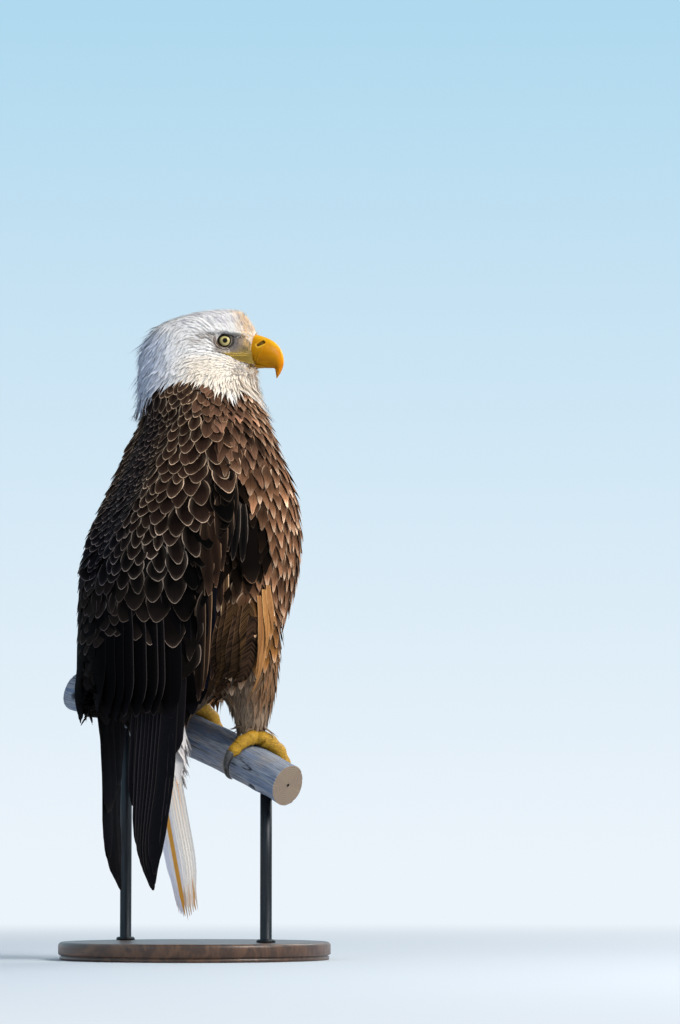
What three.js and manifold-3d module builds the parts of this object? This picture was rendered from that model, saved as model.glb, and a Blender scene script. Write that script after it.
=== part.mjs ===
// A perched bald eagle, life size, on a cut length of branch held up by a plain display stand.
//
// Millimetres, +Z up. The bird faces -Y, so its left side is +X. The origin is the centre of the stand's
// underside. The bird's own heights are counted from its right sole, and its lengths forward from the
// line between its feet. The bird sits upright, its wings folded with their tips beside the tail, its
// head turned to its right. The perch rises to its left, so the left foot stands the higher.
//
// Every soft mass is a skin over a stack of rings whose sizes run smoothly between a few named stations.
// Where two masses meet, the one further down the list is cut back from the other by a thin gap.
import * as THREE from "three";
import { mergeVertices } from "three/addons/utils/BufferGeometryUtils.js";
import Module from "manifold-3d";

const wasm = await Module();
wasm.setup();

// ---------------------------------------------------------------- driving dimensions
const GAP = 0.3; // clearance between pieces that touch
const BASE = { radius: 170, thick: 22, bevel: 4, ahead: -24, right: -14 };
const SOLE = 272; // of the right foot above the floor
const PERCH = { radius: 25.5, left: 245, right: 118, sweep: 0.3, rise: 0.385, sag: 0.00028, top: 18 };
const ROD = { radius: 7.5, left: 158, right: 82 };
const HEAD_TURN = THREE.MathUtils.degToRad(30); // to the bird's right
const NECK_BACK = 30.5; // of the neck's axis behind the feet
const EYE_HEIGHT = 503;
const EYE_AHEAD = 35.3; // of the eyes before the neck's axis
const EYE = { radius: 12, out: 19.6, low: 2.8 }; // low is how far they lie under the head's own middle
const WING_THICK = 15;
const FOOT_APART = 56; // of each foot from the middle
const COLLAR = 424; // heights where the neck is parted from the trunk, and the head from the neck
const JAW = 466;

// ---------------------------------------------------------------- shared tools

// The bird's own measures: forward, to its right, and up from its right sole.
const at = (ahead, right, up) => new THREE.Vector3(-right, -ahead, SOLE + up);

// A smooth function through (station.at, station[key]) that never overshoots its stations.
function along(stations, key) {
  const x = stations.map((s) => s.at);
  const y = stations.map((s) => s[key]);
  const last = x.length - 1;
  const step = x.slice(1).map((v, i) => (y[i + 1] - y[i]) / (v - x[i]));
  const slope = y.map((_, i) => {
    if (i === 0) return step[0];
    if (i === last) return step[last - 1];
    return step[i - 1] * step[i] <= 0 ? 0 : (2 * step[i - 1] * step[i]) / (step[i - 1] + step[i]);
  });
  return (v) => {
    let i = 0;
    while (i < last - 1 && (v - x[i + 1]) * Math.sign(x[last] - x[0]) > 0) i += 1;
    const width = x[i + 1] - x[i];
    const t = THREE.MathUtils.clamp((v - x[i]) / width, 0, 1);
    const rise = y[i + 1] - y[i];
    const a = slope[i] * width - rise;
    const b = rise - slope[i + 1] * width;
    return y[i] + t * rise + t * (1 - t) * (a * (1 - t) + b * t);
  };
}

// Even steps from a to b, both included, drawn in towards the two ends by round.
function steps(a, b, count, round = 0) {
  return Array.from({ length: count + 1 }, (_, i) => {
    const t = i / count;
    const eased = (1 - Math.cos(Math.PI * t)) / 2;
    return a + (b - a) * (t + (eased - t) * round);
  });
}

// One closed geometry over a stack of rings, which all have the same number of points.
function skinOver(rings) {
  const sides = rings[0].length;
  const centre = (ring) => ring.reduce((sum, p) => sum.add(p), new THREE.Vector3()).divideScalar(sides);
  const points = [...rings.flat(), centre(rings[0]), centre(rings[rings.length - 1])];
  const first = rings.length * sides;
  const faces = [];
  for (let j = 0; j < sides; j += 1) {
    const k = (j + 1) % sides;
    for (let i = 0; i + 1 < rings.length; i += 1) {
      const low = i * sides;
      const high = low + sides;
      faces.push(low + j, low + k, high + k, low + j, high + k, high + j);
    }
    const top = (rings.length - 1) * sides;
    faces.push(first, k, j, first + 1, top + j, top + k);
  }
  const geometry = new THREE.BufferGeometry().setFromPoints(points);
  geometry.setIndex(faces);
  return geometry;
}

// A three.js geometry as a solid, with its faces turned outwards.
function solid(geometry) {
  const bare = geometry.clone();
  bare.deleteAttribute("normal");
  bare.deleteAttribute("uv");
  const merged = mergeVertices(bare, 1e-4);
  const vertProperties = new Float32Array(merged.attributes.position.array);
  const triVerts = new Uint32Array(merged.index.array);
  const made = new wasm.Manifold(new wasm.Mesh({ numProp: 3, vertProperties, triVerts }));
  if (made.volume() > 0) return made;
  triVerts.reverse();
  return new wasm.Manifold(new wasm.Mesh({ numProp: 3, vertProperties, triVerts }));
}

// The points of an oval round centre, in the plane of two directions. front and back are its reach along
// the first direction, side its reach along the second, and square over 2 fills its corners.
function oval(centre, ahead, across, { front, back, side, square = 2 }, sides) {
  return Array.from({ length: sides }, (_, i) => {
    const angle = (2 * Math.PI * i) / sides;
    const bent = (v) => Math.sign(v) * Math.abs(v) ** (2 / square);
    const c = bent(Math.cos(angle));
    const s = bent(Math.sin(angle));
    return centre
      .clone()
      .addScaledVector(ahead, c * (c > 0 ? front : back))
      .addScaledVector(across, s * side);
  });
}

const AHEAD = new THREE.Vector3(0, -1, 0);
const RIGHT = new THREE.Vector3(-1, 0, 0);
const UP = new THREE.Vector3(0, 0, 1);

// A mass of round or oval sections strung along a line of [ahead, right, up, half, flat] stations, each
// square to that line. half is its reach across the bird and flat its reach the other way.
function strungMass(stations, { count, sides, round = 0.5, across = RIGHT, square = 2 }) {
  const line = new THREE.CatmullRomCurve3(stations.map(([a, r, u]) => at(a, r, u)), false, "centripetal");
  const marks = stations.map((s, i) => ({ at: i / (stations.length - 1), half: s[3], flat: s[4] ?? s[3] }));
  const [half, flat] = [along(marks, "half"), along(marks, "flat")];
  return (grow = 0) => {
    const rings = steps(0, 1, count, round).map((t) => {
      const heading = line.getTangent(t);
      const side = across.clone().addScaledVector(heading, -across.dot(heading)).normalize();
      const other = new THREE.Vector3().crossVectors(heading, side);
      const end = t === 0 ? -grow : t === 1 ? grow : 0;
      const centre = line.getPoint(t).addScaledVector(heading, end);
      const size = { front: half(t) + grow, back: half(t) + grow, side: flat(t) + grow, square };
      return oval(centre, side, other, size, sides);
    });
    return solid(skinOver(rings));
  };
}

// ---------------------------------------------------------------- torso, as a stack of level ovals
// front is the breast's reach before the feet, back the reach behind them, side the half width, with
// the folded wings. The belly draws in below and the back runs on down to the rump.
const OUTLINE = [
  { at: 456, front: 46, back: 87, side: 62 },
  { at: 428, front: 54, back: 96, side: 79 },
  { at: 397, front: 62, back: 104, side: 100 },
  { at: 365, front: 72, back: 117, side: 116 },
  { at: 334, front: 86, back: 131, side: 125 },
  { at: 302, front: 99, back: 147, side: 131 },
  { at: 271, front: 105, back: 164, side: 134 },
  { at: 239, front: 106, back: 175, side: 133 },
  { at: 208, front: 104, back: 183, side: 129 },
  { at: 176, front: 97, back: 186, side: 123 },
  { at: 145, front: 86, back: 186, side: 116 },
  { at: 113, front: 66, back: 187, side: 108 },
  { at: 82, front: 40, back: 185, side: 102 },
  { at: 50, front: 8, back: 182, side: 94 },
  { at: 21, front: -21, back: 172, side: 84 },
];

// ---------------------------------------------------------------- folded wings
// The arm of the wing, with its coverts and secondaries, lies on the trunk like a shell. Angles are
// measured round the outline from straight ahead. The long primaries of the hand come out from under
// its lower edge.
const ARM = [
  { at: 412, front: 99, back: 137, thick: 6 },
  { at: 396, front: 97, back: 147, thick: 11 },
  { at: 376, front: 96, back: 151, thick: 13.5 },
  { at: 348, front: 97, back: 155, thick: WING_THICK },
  { at: 294, front: 99, back: 161, thick: WING_THICK },
  { at: 242, front: 101, back: 168, thick: WING_THICK },
  { at: 178, front: 103, back: 175.5, thick: WING_THICK },
  { at: 121, front: 103, back: 176.5, thick: 14 },
  { at: 79, front: 101, back: 175, thick: 11 },
  { at: 47, front: 100, back: 172, thick: 8 },
  { at: 25, front: 102, back: 168, thick: 4 },
];

const outline = ["front", "back", "side"].map((key) => along(OUTLINE, key));
const [armFront, armBack, armThick] = ["front", "back", "thick"].map((key) => along(ARM, key));

// A point on the outline at a height, at an angle round it from straight ahead, and a depth under it.
function onOutline(sign, angle, depth, z) {
  const [front, back, side] = outline.map((reach) => reach(z));
  const turn = THREE.MathUtils.degToRad(angle);
  const ahead = (front - back) / 2 + Math.cos(turn) * ((front + back) / 2 - depth);
  return at(ahead, sign * Math.sin(turn) * (side - depth), z);
}

// The arm's thickness at a share of the way across it: full in the middle, thin at both edges.
const armDepth = (share, z) => armThick(z) * (0.22 + 0.78 * Math.sqrt(1 - (2 * share - 1) ** 4));

// The heights of the arm's rings and the shares across it where it is drawn. Its bed uses the same.
const ARM_LEVELS = steps(ARM[0].at, ARM[ARM.length - 1].at, 12, 0.35);
const ARM_SHARES = steps(0, 1, 7, 0.3);

function armMass(sign) {
  return (grow = 0) => {
    const rings = ARM_LEVELS.map((level, i, all) => {
      const z = level + (i === 0 ? grow : i === all.length - 1 ? -grow : 0);
      const edge = THREE.MathUtils.radToDeg(grow / 100);
      const place = (share, depth) =>
        onOutline(sign, THREE.MathUtils.lerp(armFront(z) - edge, armBack(z) + edge, share), depth, z);
      const outer = ARM_SHARES.map((share) => place(share, -grow));
      const inner = ARM_SHARES.map((share) => place(share, armDepth(share, z) + grow)).reverse();
      return [...outer, ...inner];
    });
    return solid(skinOver(rings));
  };
}

// The trunk under the wings, with a shallow bed on each side for the arm to lie in.
const TRUNK = [
  { at: 456, front: 44, back: 84, side: 60 },
  { at: 428, front: 53, back: 92, side: 75 },
  { at: 397, front: 62, back: 100, side: 98 },
  { at: 365, front: 72, back: 111, side: 114 },
  { at: 334, front: 86, back: 125, side: 123 },
  { at: 302, front: 99, back: 139, side: 128 },
  { at: 271, front: 105, back: 153, side: 130 },
  { at: 239, front: 106, back: 162, side: 128 },
  { at: 208, front: 104, back: 166, side: 123 },
  { at: 176, front: 97, back: 165, side: 116 },
  { at: 145, front: 86, back: 161, side: 104 },
  { at: 113, front: 65, back: 155, side: 90 },
  { at: 82, front: 33, back: 148, side: 74 },
  { at: 50, front: -14, back: 140, side: 52 },
  { at: 25, front: -46, back: 130, side: 36 },
  { at: 13, front: -66, back: 116, side: 17 },
];
const BED_CLEAR = 2.4;

// The flank is hollow before the wing's front edge, which stands off it.
const HOLLOW = [
  { at: 456, deep: 0 },
  { at: 370, deep: 0 },
  { at: 325, deep: 6 },
  { at: 235, deep: 10 },
  { at: 165, deep: 7 },
  { at: 110, deep: 0 },
  { at: 13, deep: 0 },
];

function trunkMass(grow = 0) {
  const [front, back, side] = ["front", "back", "side"].map((key) => along(TRUNK, key));
  const hollow = along(HOLLOW, "deep");
  const levels = [TRUNK[0].at + grow, 440, ...ARM_LEVELS, 18, TRUNK[TRUNK.length - 1].at - grow];
  const rings = levels.map((z) => {
    const middle = (front(z) - back(z)) / 2;
    const half = (front(z) + back(z)) / 2 + grow;
    const axis = at(middle, 0, z);
    const free = (sign, angle, share = 0) => {
      const turn = THREE.MathUtils.degToRad(angle);
      const deep = share * Math.max(0, hollow(z));
      return at(middle + Math.cos(turn) * (half - deep), sign * Math.sin(turn) * (side(z) + grow - deep), z);
    };
    const bedded = (sign, share) => {
      const angle = THREE.MathUtils.lerp(armFront(z), armBack(z), share);
      const under = onOutline(sign, angle, armDepth(share, z) + BED_CLEAR - grow, z);
      const open = free(sign, angle);
      return under.distanceTo(axis) < open.distanceTo(axis) ? under : open;
    };
    const flank = (sign) => [
      ...steps(0, armFront(z) - 2, 5).slice(1).map((angle, i) => free(sign, angle, [0, 0, 0, 0.5, 1][i])),
      ...ARM_SHARES.map((share) => bedded(sign, share)),
    ];
    return [free(1, 0), ...flank(1), free(1, 180), ...flank(-1).reverse()];
  });
  return solid(skinOver(rings));
}

// The hand: the stack of folded primaries, a long thin blade. fa and fr place its front edge ahead and
// to the side, ba and br its back edge, and thick is its thickness.
const HAND = [
  { at: 100, fa: -95, fr: 86, ba: -131, br: 74, thick: 8 },
  { at: 50, fa: -97, fr: 80, ba: -136, br: 62, thick: 10 },
  { at: 0, fa: -98, fr: 75, ba: -134, br: 54, thick: 10.5 },
  { at: -50, fa: -98, fr: 68, ba: -134, br: 48, thick: 9.5 },
  { at: -95, fa: -104, fr: 61, ba: -134, br: 46, thick: 8.5 },
  { at: -136, fa: -108, fr: 52, ba: -133, br: 45, thick: 7 },
  { at: -168, fa: -108, fr: 47, ba: -127, br: 43, thick: 5.5 },
  { at: -186, fa: -108, fr: 43, ba: -116, br: 41, thick: 3 },
];

function handMass(sign) {
  const [fa, fr, ba, br, thick] = ["fa", "fr", "ba", "br", "thick"].map((key) => along(HAND, key));
  return (grow = 0) => {
    const rings = steps(HAND[0].at + grow, HAND[HAND.length - 1].at - grow, 9, 0.3).map((z) => {
      const front = at(fa(z), sign * fr(z), z);
      const back = at(ba(z), sign * br(z), z);
      const blade = new THREE.Vector3().subVectors(front, back);
      const half = blade.length() / 2 + grow;
      const ahead = blade.normalize();
      const out = new THREE.Vector3().crossVectors(ahead, UP);
      const size = { front: half, back: half, side: thick(z) / 2 + grow, square: 2.4 };
      return oval(front.lerp(back, 0.5), ahead, out, size, 10);
    });
    return solid(skinOver(rings));
  };
}

// ---------------------------------------------------------------- tail
// Twelve broad feathers closed over each other, longest in the middle, and the coverts at their root.
const TAIL = { root: [-86, 6], tip: [-40, -224], wedge: 12 };

function tailMass(grow = 0) {
  const root = at(TAIL.root[0], 0, TAIL.root[1]);
  const tip = at(TAIL.tip[0], 0, TAIL.tip[1]);
  const heading = new THREE.Vector3().subVectors(tip, root).normalize();
  const through = new THREE.Vector3().crossVectors(heading, RIGHT);
  const marks = [
    { at: 0, half: 34, thick: 13 },
    { at: 0.25, half: 38, thick: 9.5 },
    { at: 0.7, half: 41, thick: 6.5 },
    { at: 1, half: 38, thick: 4.4 },
  ];
  const [half, thick] = [along(marks, "half"), along(marks, "thick")];
  const rings = steps(0, 1, 6, 0.2).map((t, i, all) => {
    const wide = half(t) + grow;
    const ring = oval(
      root.clone().lerp(tip, t),
      RIGHT,
      through,
      { front: wide, back: wide, side: thick(t) / 2 + grow, square: 2.6 },
      14,
    );
    // The outer feathers fall short of the middle ones, and each lies a little behind the next.
    const short = t ** 3 * TAIL.wedge;
    const ends = i === 0 ? -grow : i === all.length - 1 ? grow : 0;
    return ring.map((p) => {
      const out = Math.abs(p.x) / wide;
      return p.addScaledVector(heading, ends - short * out ** 2).addScaledVector(through, -4 * out ** 2);
    });
  });
  return solid(skinOver(rings));
}

// The white tail coverts: the soft cone between the vent and the tail's feathers.
const COVERTS = [
  [-91, 0, 62, 50, 46],
  [-91, 0, 42, 51, 46],
  [-86, 0, 14, 46, 38],
  [-79, 0, -20, 38, 28],
  [-70, 0, -54, 27, 17],
  [-62, 0, -78, 14, 6],
];
const covertsMass = strungMass(COVERTS, { count: 5, sides: 12 });

// ---------------------------------------------------------------- legs
// Feathered thighs, with the loose trousers that hang over the shank.
const THIGH = [
  [-25, 69, 206, 36, 42],
  [-17, 72, 170, 46, 57],
  [-6, 70, 135, 47, 59],
  [3, 66, 102, 43, 50],
  [12, 62, 74, 36, 39],
  [17, 58, 50, 27, 29],
  [17, 56, 33, 20, 21],
];
// Each leg bends to its own height on the sloping perch.
const settled = (sign) =>
  THIGH.map(([ahead, right, up, ...reach], i) => {
    const share = (i / (THIGH.length - 1)) ** 2;
    return [ahead, sign * right, up - sign * share * PERCH.rise * FOOT_APART, ...reach];
  });
const thighMass = (sign) => strungMass(settled(sign), { count: 8, sides: 12 });

// The perch's axis, as a distance to the bird's left of the middle, and the frame round it.
const perchPoint = (left) => {
  const lift = PERCH.rise * left - PERCH.sag * left * left;
  return at(-PERCH.sweep * left, -left, PERCH.top - PERCH.radius + lift);
};
const perchAlong = new THREE.Vector3(1, PERCH.sweep, PERCH.rise).normalize();
const perchAhead = new THREE.Vector3().crossVectors(perchAlong, UP).normalize();
const perchUp = new THREE.Vector3().crossVectors(perchAhead, perchAlong).normalize();

// ---------------------------------------------------------------- feet
// A point at an angle round the perch, from straight up towards the front, and a height over its bark.
function roundPerch(left, angle, over) {
  const reach = PERCH.radius + over;
  return perchPoint(left)
    .addScaledVector(perchUp, Math.cos(angle) * reach)
    .addScaledVector(perchAhead, Math.sin(angle) * reach);
}

// Each toe runs inwards along the perch from one distance to another, and round it between two angles.
// claw is the claw's thickness at its root.
const TOES = [
  { name: "inner", from: 6, to: 25, start: 0.1, end: 1.5, claw: 5.6 },
  { name: "middle", from: 0, to: 0, start: 0.15, end: 1.85, claw: 5 },
  { name: "outer", from: -6, to: -26, start: 0.1, end: 1.45, claw: 4.6 },
  { name: "hind", from: 1, to: 5, start: -0.1, end: -1.25, claw: 5.8 },
];
const TOE = { root: 9, tip: 6.6, over: 1.2 };
const CLAW_TURN = 1.05; // angle round the perch that a claw spans

// Round sections along an arc over the bark, for a toe or a claw.
function hooked({ left, angle, thick, over, count, sides }) {
  return (grow = 0) => {
    const place = (t) => roundPerch(left(t), angle(t), over(t));
    const rings = steps(0, 1, count).map((t) => {
      const nudge = 0.01;
      const heading = place(t + nudge).sub(place(t - nudge)).normalize();
      const out = new THREE.Vector3().crossVectors(perchAlong, heading).normalize();
      const side = new THREE.Vector3().crossVectors(heading, out);
      const end = t === 0 ? -grow : t === 1 ? grow : 0;
      const reach = thick(t) + grow;
      const size = { front: reach, back: reach, side: reach };
      return oval(place(t).addScaledVector(heading, end), side, out, size, sides);
    });
    return solid(skinOver(rings));
  };
}

// The solids of one foot. sign is 1 on the right and -1 on the left.
function footMasses(sign) {
  const { lerp } = THREE.MathUtils;
  const middle = -sign * FOOT_APART;
  const toes = TOES.map((toe) => {
    const thick = (t) => lerp(TOE.root, TOE.tip, t) * (t > 0.95 ? 0.8 : 1);
    return hooked({
      left: (t) => middle + sign * lerp(toe.from, toe.to, t),
      angle: (t) => lerp(toe.start, toe.end, t),
      thick,
      over: (t) => thick(t) + TOE.over,
      count: 4,
      sides: 6,
    });
  });
  const claws = TOES.map((toe) => {
    const turn = Math.sign(toe.end) * CLAW_TURN * (toe.claw / 5);
    return hooked({
      left: (t) => middle + sign * (toe.to + (toe.to - toe.from) * 0.25 * t),
      angle: (t) => toe.end + turn * t,
      thick: (t) => (toe.claw - 0.45) * (1 - t) ** 0.8 + 0.45,
      over: (t) => 8.2 + 5.5 * Math.sin(Math.PI * (0.15 + 0.7 * t)) - 7.6 * t,
      count: 5,
      sides: 6,
    });
  });
  const pad = (grow = 0) => {
    const ball = new THREE.SphereGeometry(1, 8, 5);
    ball.scale(15 + grow, 13 + grow, 8.6 + grow);
    const centre = roundPerch(middle, 0.12, 9.8);
    return solid(ball.translate(centre.x, centre.y, centre.z));
  };
  // The bare end of the shank, from inside the trousers down to the pad.
  const top = settled(sign)[THIGH.length - 1];
  const ankle = at(top[0], top[1], top[2] + 10);
  const sole = roundPerch(middle, 0.02, 9.5);
  const shank = (grow = 0) => {
    const rings = [8.4, 8.2, 8.6, 10.5].map((reach, i) => {
      const size = { front: reach * 1.15 + grow, back: reach * 1.15 + grow, side: reach * 0.9 + grow };
      return oval(ankle.clone().lerp(sole, i / 3), AHEAD, RIGHT, size, 10);
    });
    return solid(skinOver(rings));
  };
  return { toes, claws, pad, shank };
}

// ---------------------------------------------------------------- neck and head
// The head's own frame: forward along the bill, to its right and up from a point just over the eyes.
const headAhead = AHEAD.clone().applyAxisAngle(UP, -HEAD_TURN);
const headRight = RIGHT.clone().applyAxisAngle(UP, -HEAD_TURN);
const headMiddle = at(-NECK_BACK, 0, EYE_HEIGHT).addScaledVector(headAhead, EYE_AHEAD);
const onHead = (ahead, right, up) =>
  headMiddle.clone().addScaledVector(headAhead, ahead).addScaledVector(headRight, right).addScaledVector(UP, up);

// A ball drawn out along the head's three directions, turned about the upright and tipped forward.
function headBall([ahead, right, up], [length, width, height], turn, tip, sides) {
  const ball = new THREE.SphereGeometry(1, sides, Math.round(sides * 0.6));
  ball.scale(length, width, height);
  ball.applyMatrix4(new THREE.Matrix4().makeRotationY(tip));
  ball.applyMatrix4(new THREE.Matrix4().makeRotationZ(turn));
  ball.applyMatrix4(new THREE.Matrix4().makeBasis(headAhead, headRight.clone().negate(), UP));
  const centre = onHead(ahead, right, up);
  return solid(ball.translate(centre.x, centre.y, centre.z));
}

// The short thick neck, drawn in between the shoulders, turning with the head as it rises. Its lowest
// feathers stand off a little over the back.
const NECK = [
  { at: 414, front: 77, back: 75, side: 87, turn: 0 },
  { at: 433, front: 80, back: 74, side: 74, turn: 0.35 },
  { at: 456, front: 78, back: 75, side: 60, turn: 0.8 },
  { at: 479, front: 72, back: 74, side: 49, turn: 1 },
  { at: 502, front: 50, back: 68, side: 41, turn: 1 },
  { at: 521, front: 23, back: 48, side: 27, turn: 1 },
];

function neckMass(grow = 0) {
  const [front, back, side, turn] = ["front", "back", "side", "turn"].map((key) => along(NECK, key));
  const rings = steps(NECK[0].at - grow, NECK[NECK.length - 1].at + grow, 6, 0.2).map((z) => {
    const angle = -HEAD_TURN * turn(z);
    const size = { front: front(z) + grow, back: back(z) + grow, side: side(z) + grow };
    const [ahead, right] = [AHEAD, RIGHT].map((v) => v.clone().applyAxisAngle(UP, angle));
    return oval(at(-NECK_BACK, 0, z), ahead, right, size, 18);
  });
  return solid(skinOver(rings));
}

// The head from the nape to the root of the bill: top and bottom from the eyes' height, and half width.
const SKULL = [
  { at: -98, top: -4, bottom: -27, side: 10 },
  { at: -92, top: 13, bottom: -38, side: 22 },
  { at: -80, top: 25, bottom: -46, side: 31 },
  { at: -61, top: 33, bottom: -50, side: 36 },
  { at: -42, top: 38, bottom: -50, side: 38 },
  { at: -23, top: 41.2, bottom: -48, side: 37 },
  { at: -6, top: 42.6, bottom: -44, side: 34 },
  { at: 8, top: 42.4, bottom: -40, side: 30.5 },
  { at: 19, top: 39.4, bottom: -36.8, side: 26 },
  { at: 27, top: 31.5, bottom: -38, side: 21.5 },
  { at: 33, top: 23, bottom: -39, side: 17.5 },
  { at: 38, top: 15, bottom: -39, side: 14.5 },
  { at: 41.5, top: 10, bottom: -37, side: 9 },
];

function skullMass(grow = 0) {
  const [top, bottom, side] = ["top", "bottom", "side"].map((key) => along(SKULL, key));
  const rings = steps(SKULL[0].at - grow, SKULL[SKULL.length - 1].at + grow, 12, 0.3).map((a) => {
    const middle = (top(a) + bottom(a)) / 2;
    const half = (top(a) - bottom(a)) / 2 + grow;
    const size = { front: half, back: half, side: side(a) + grow, square: 2.6 };
    return oval(onHead(a, 0, middle), UP, headRight, size, 18);
  });
  return solid(skinOver(rings));
}

// The bony brow that shades each eye, and the hollow the eye lies in, open towards the bill.
const browMass = (sign) => headBall([5, sign * 26.4, 12.6 - EYE.low], [20, 6.4, 4.8], sign * 0.24, 0.2, 9);
const hollowMass = (sign) => headBall([2.5, sign * 38, -0.5 - EYE.low], [13.5, 11.5, 9.6], sign * 0.36, 0.1, 11);
const eyeMass = (sign) => (grow) =>
  headBall([0, sign * EYE.out, -EYE.low], [EYE.radius + grow, EYE.radius + grow, EYE.radius + grow], 0, 0, 10);

function headMass(grow = 0) {
  const rough = neckMass(grow).add(skullMass(grow));
  const hollowed = rough.subtract(hollowMass(1)).subtract(hollowMass(-1));
  return hollowed.add(browMass(1)).add(browMass(-1));
}

// ---------------------------------------------------------------- bill
// Sections from the cere round the hook to the tip. Each gives the ridge of the culmen and the cutting
// edge under it, ahead of and above the middle of the eyes, and the half width.
const UPPER_BILL = [
  { top: [34.7, 9], edge: [31.5, -30.5], side: 14.1 },
  { top: [40.4, 8.4], edge: [37.8, -31.5], side: 14.3 },
  { top: [47.6, 6.3], edge: [44.6, -32.8], side: 13.5 },
  { top: [55.2, 3.4], edge: [51.5, -33.4], side: 12.6 },
  { top: [62.6, -1.1], edge: [57.2, -33.8], side: 11.3 },
  { top: [69, -7.9], edge: [60.9, -34], side: 9.7 },
  { top: [72.9, -16.3], edge: [62.5, -34.7], side: 8 },
  { top: [74.1, -24.9], edge: [63.2, -36.1], side: 6.4 },
  { top: [73.1, -32.3], edge: [63.6, -38.6], side: 4.9 },
  { top: [70.5, -39.1], edge: [64.1, -41.6], side: 3.5 },
  { top: [67.5, -43.9], edge: [64.5, -44.3], side: 2 },
  { top: [65.5, -46.8], edge: [64.7, -46.6], side: 0.7 },
];
const LOWER_BILL = [
  { top: [23, -28.4], edge: [21, -34.7], side: 8.6 },
  { top: [33.6, -30.9], edge: [32.6, -37.4], side: 8.4 },
  { top: [43.6, -33.4], edge: [43.6, -37.6], side: 7.2 },
  { top: [51.5, -34], edge: [51.5, -36.6], side: 5.3 },
  { top: [56.6, -34.6], edge: [56.5, -35.6], side: 2.6 },
];

function billMass(sections, sides, square) {
  return (grow = 0) => {
    const rings = sections.map(({ top, edge, side }, i) => {
      const [high, low] = [onHead(top[0], 0, top[1]), onHead(edge[0], 0, edge[1])];
      const rise = new THREE.Vector3().subVectors(high, low);
      const half = rise.length() / 2 + grow;
      const centre = high.lerp(low, 0.5).addScaledVector(headAhead, i === 0 ? -grow : 0);
      const size = { front: half, back: half, side: side + grow, square };
      return oval(centre, rise.normalize(), headRight, size, sides);
    });
    return solid(skinOver(rings));
  };
}

// ---------------------------------------------------------------- perch and stand
// A weathered length of branch: barkless, a little uneven, sawn off at both ends.
function perchMass(grow = 0) {
  const sides = 11;
  const rings = steps(-PERCH.right - grow, PERCH.left + grow, 12).map((left) => {
    const knot = 3 * Math.exp(-(((left - 178) / 18) ** 2));
    return Array.from({ length: sides }, (_, i) => {
      const angle = (2 * Math.PI * i) / sides;
      const uneven = 0.6 * Math.sin(2 * angle + left / 31) + knot * Math.max(0, Math.cos(angle - 2));
      return roundPerch(left, angle, uneven + grow);
    });
  });
  return solid(skinOver(rings));
}

// A solid turned about the upright through the point (x, y), from [radius, height] pairs.
function turned(profile, x, y, sides) {
  const lathe = new THREE.LatheGeometry(profile.map(([r, z]) => new THREE.Vector2(r, z)), sides);
  return solid(lathe.rotateX(Math.PI / 2).translate(x, y, 0));
}

function baseMass(grow = 0) {
  const { radius, thick, bevel, ahead, right } = BASE;
  const profile = [
    [0, 0],
    [radius - 1.5, 0],
    [radius + grow, 1.5],
    [radius + grow, thick - bevel],
    [radius - bevel + grow, thick + grow],
    [0, thick + grow],
  ];
  return turned(profile, -right, -ahead, 28);
}

// A rod from inside the base into the underside of the perch, at a distance to the left of its middle.
function rodMass(left) {
  const top = perchPoint(left);
  return (grow = 0) => {
    const radius = ROD.radius + grow;
    return turned([[0, BASE.thick - 8], [radius, BASE.thick - 8], [radius, top.z], [0, top.z]], top.x, top.y, 14);
  };
}

// ---------------------------------------------------------------- the pieces, and how they meet
const COLOURS = {
  brown: { color: 0x33241a, roughness: 0.75 },
  white: { color: 0xf2eee6, roughness: 0.8 },
  bill: { color: 0xe0a312, roughness: 0.38 },
  leg: { color: 0xd9a21c, roughness: 0.55 },
  claw: { color: 0x17181a, roughness: 0.3 },
  eye: { color: 0xd8cf86, roughness: 0.08 },
  bark: { color: 0x8b8f94, roughness: 0.85 },
  base: { color: 0x4a3526, roughness: 0.45 },
  steel: { color: 0x2e2f31, roughness: 0.4, metalness: 0.6 },
};

const sides = [
  { label: "left", sign: -1, foot: footMasses(-1) },
  { label: "right", sign: 1, foot: footMasses(1) },
];
const joined = (...parts) => (grow = 0) => parts.map((part) => part(grow)).reduce((a, b) => a.add(b));

// Only what lies between two heights over the right sole.
function between(make, low, high) {
  const slab = new THREE.BoxGeometry(600, 600, high - low).translate(0, 0, SOLE + (low + high) / 2);
  return () => make(0).intersect(solid(slab));
}
const torso = joined(trunkMass, headMass);

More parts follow.
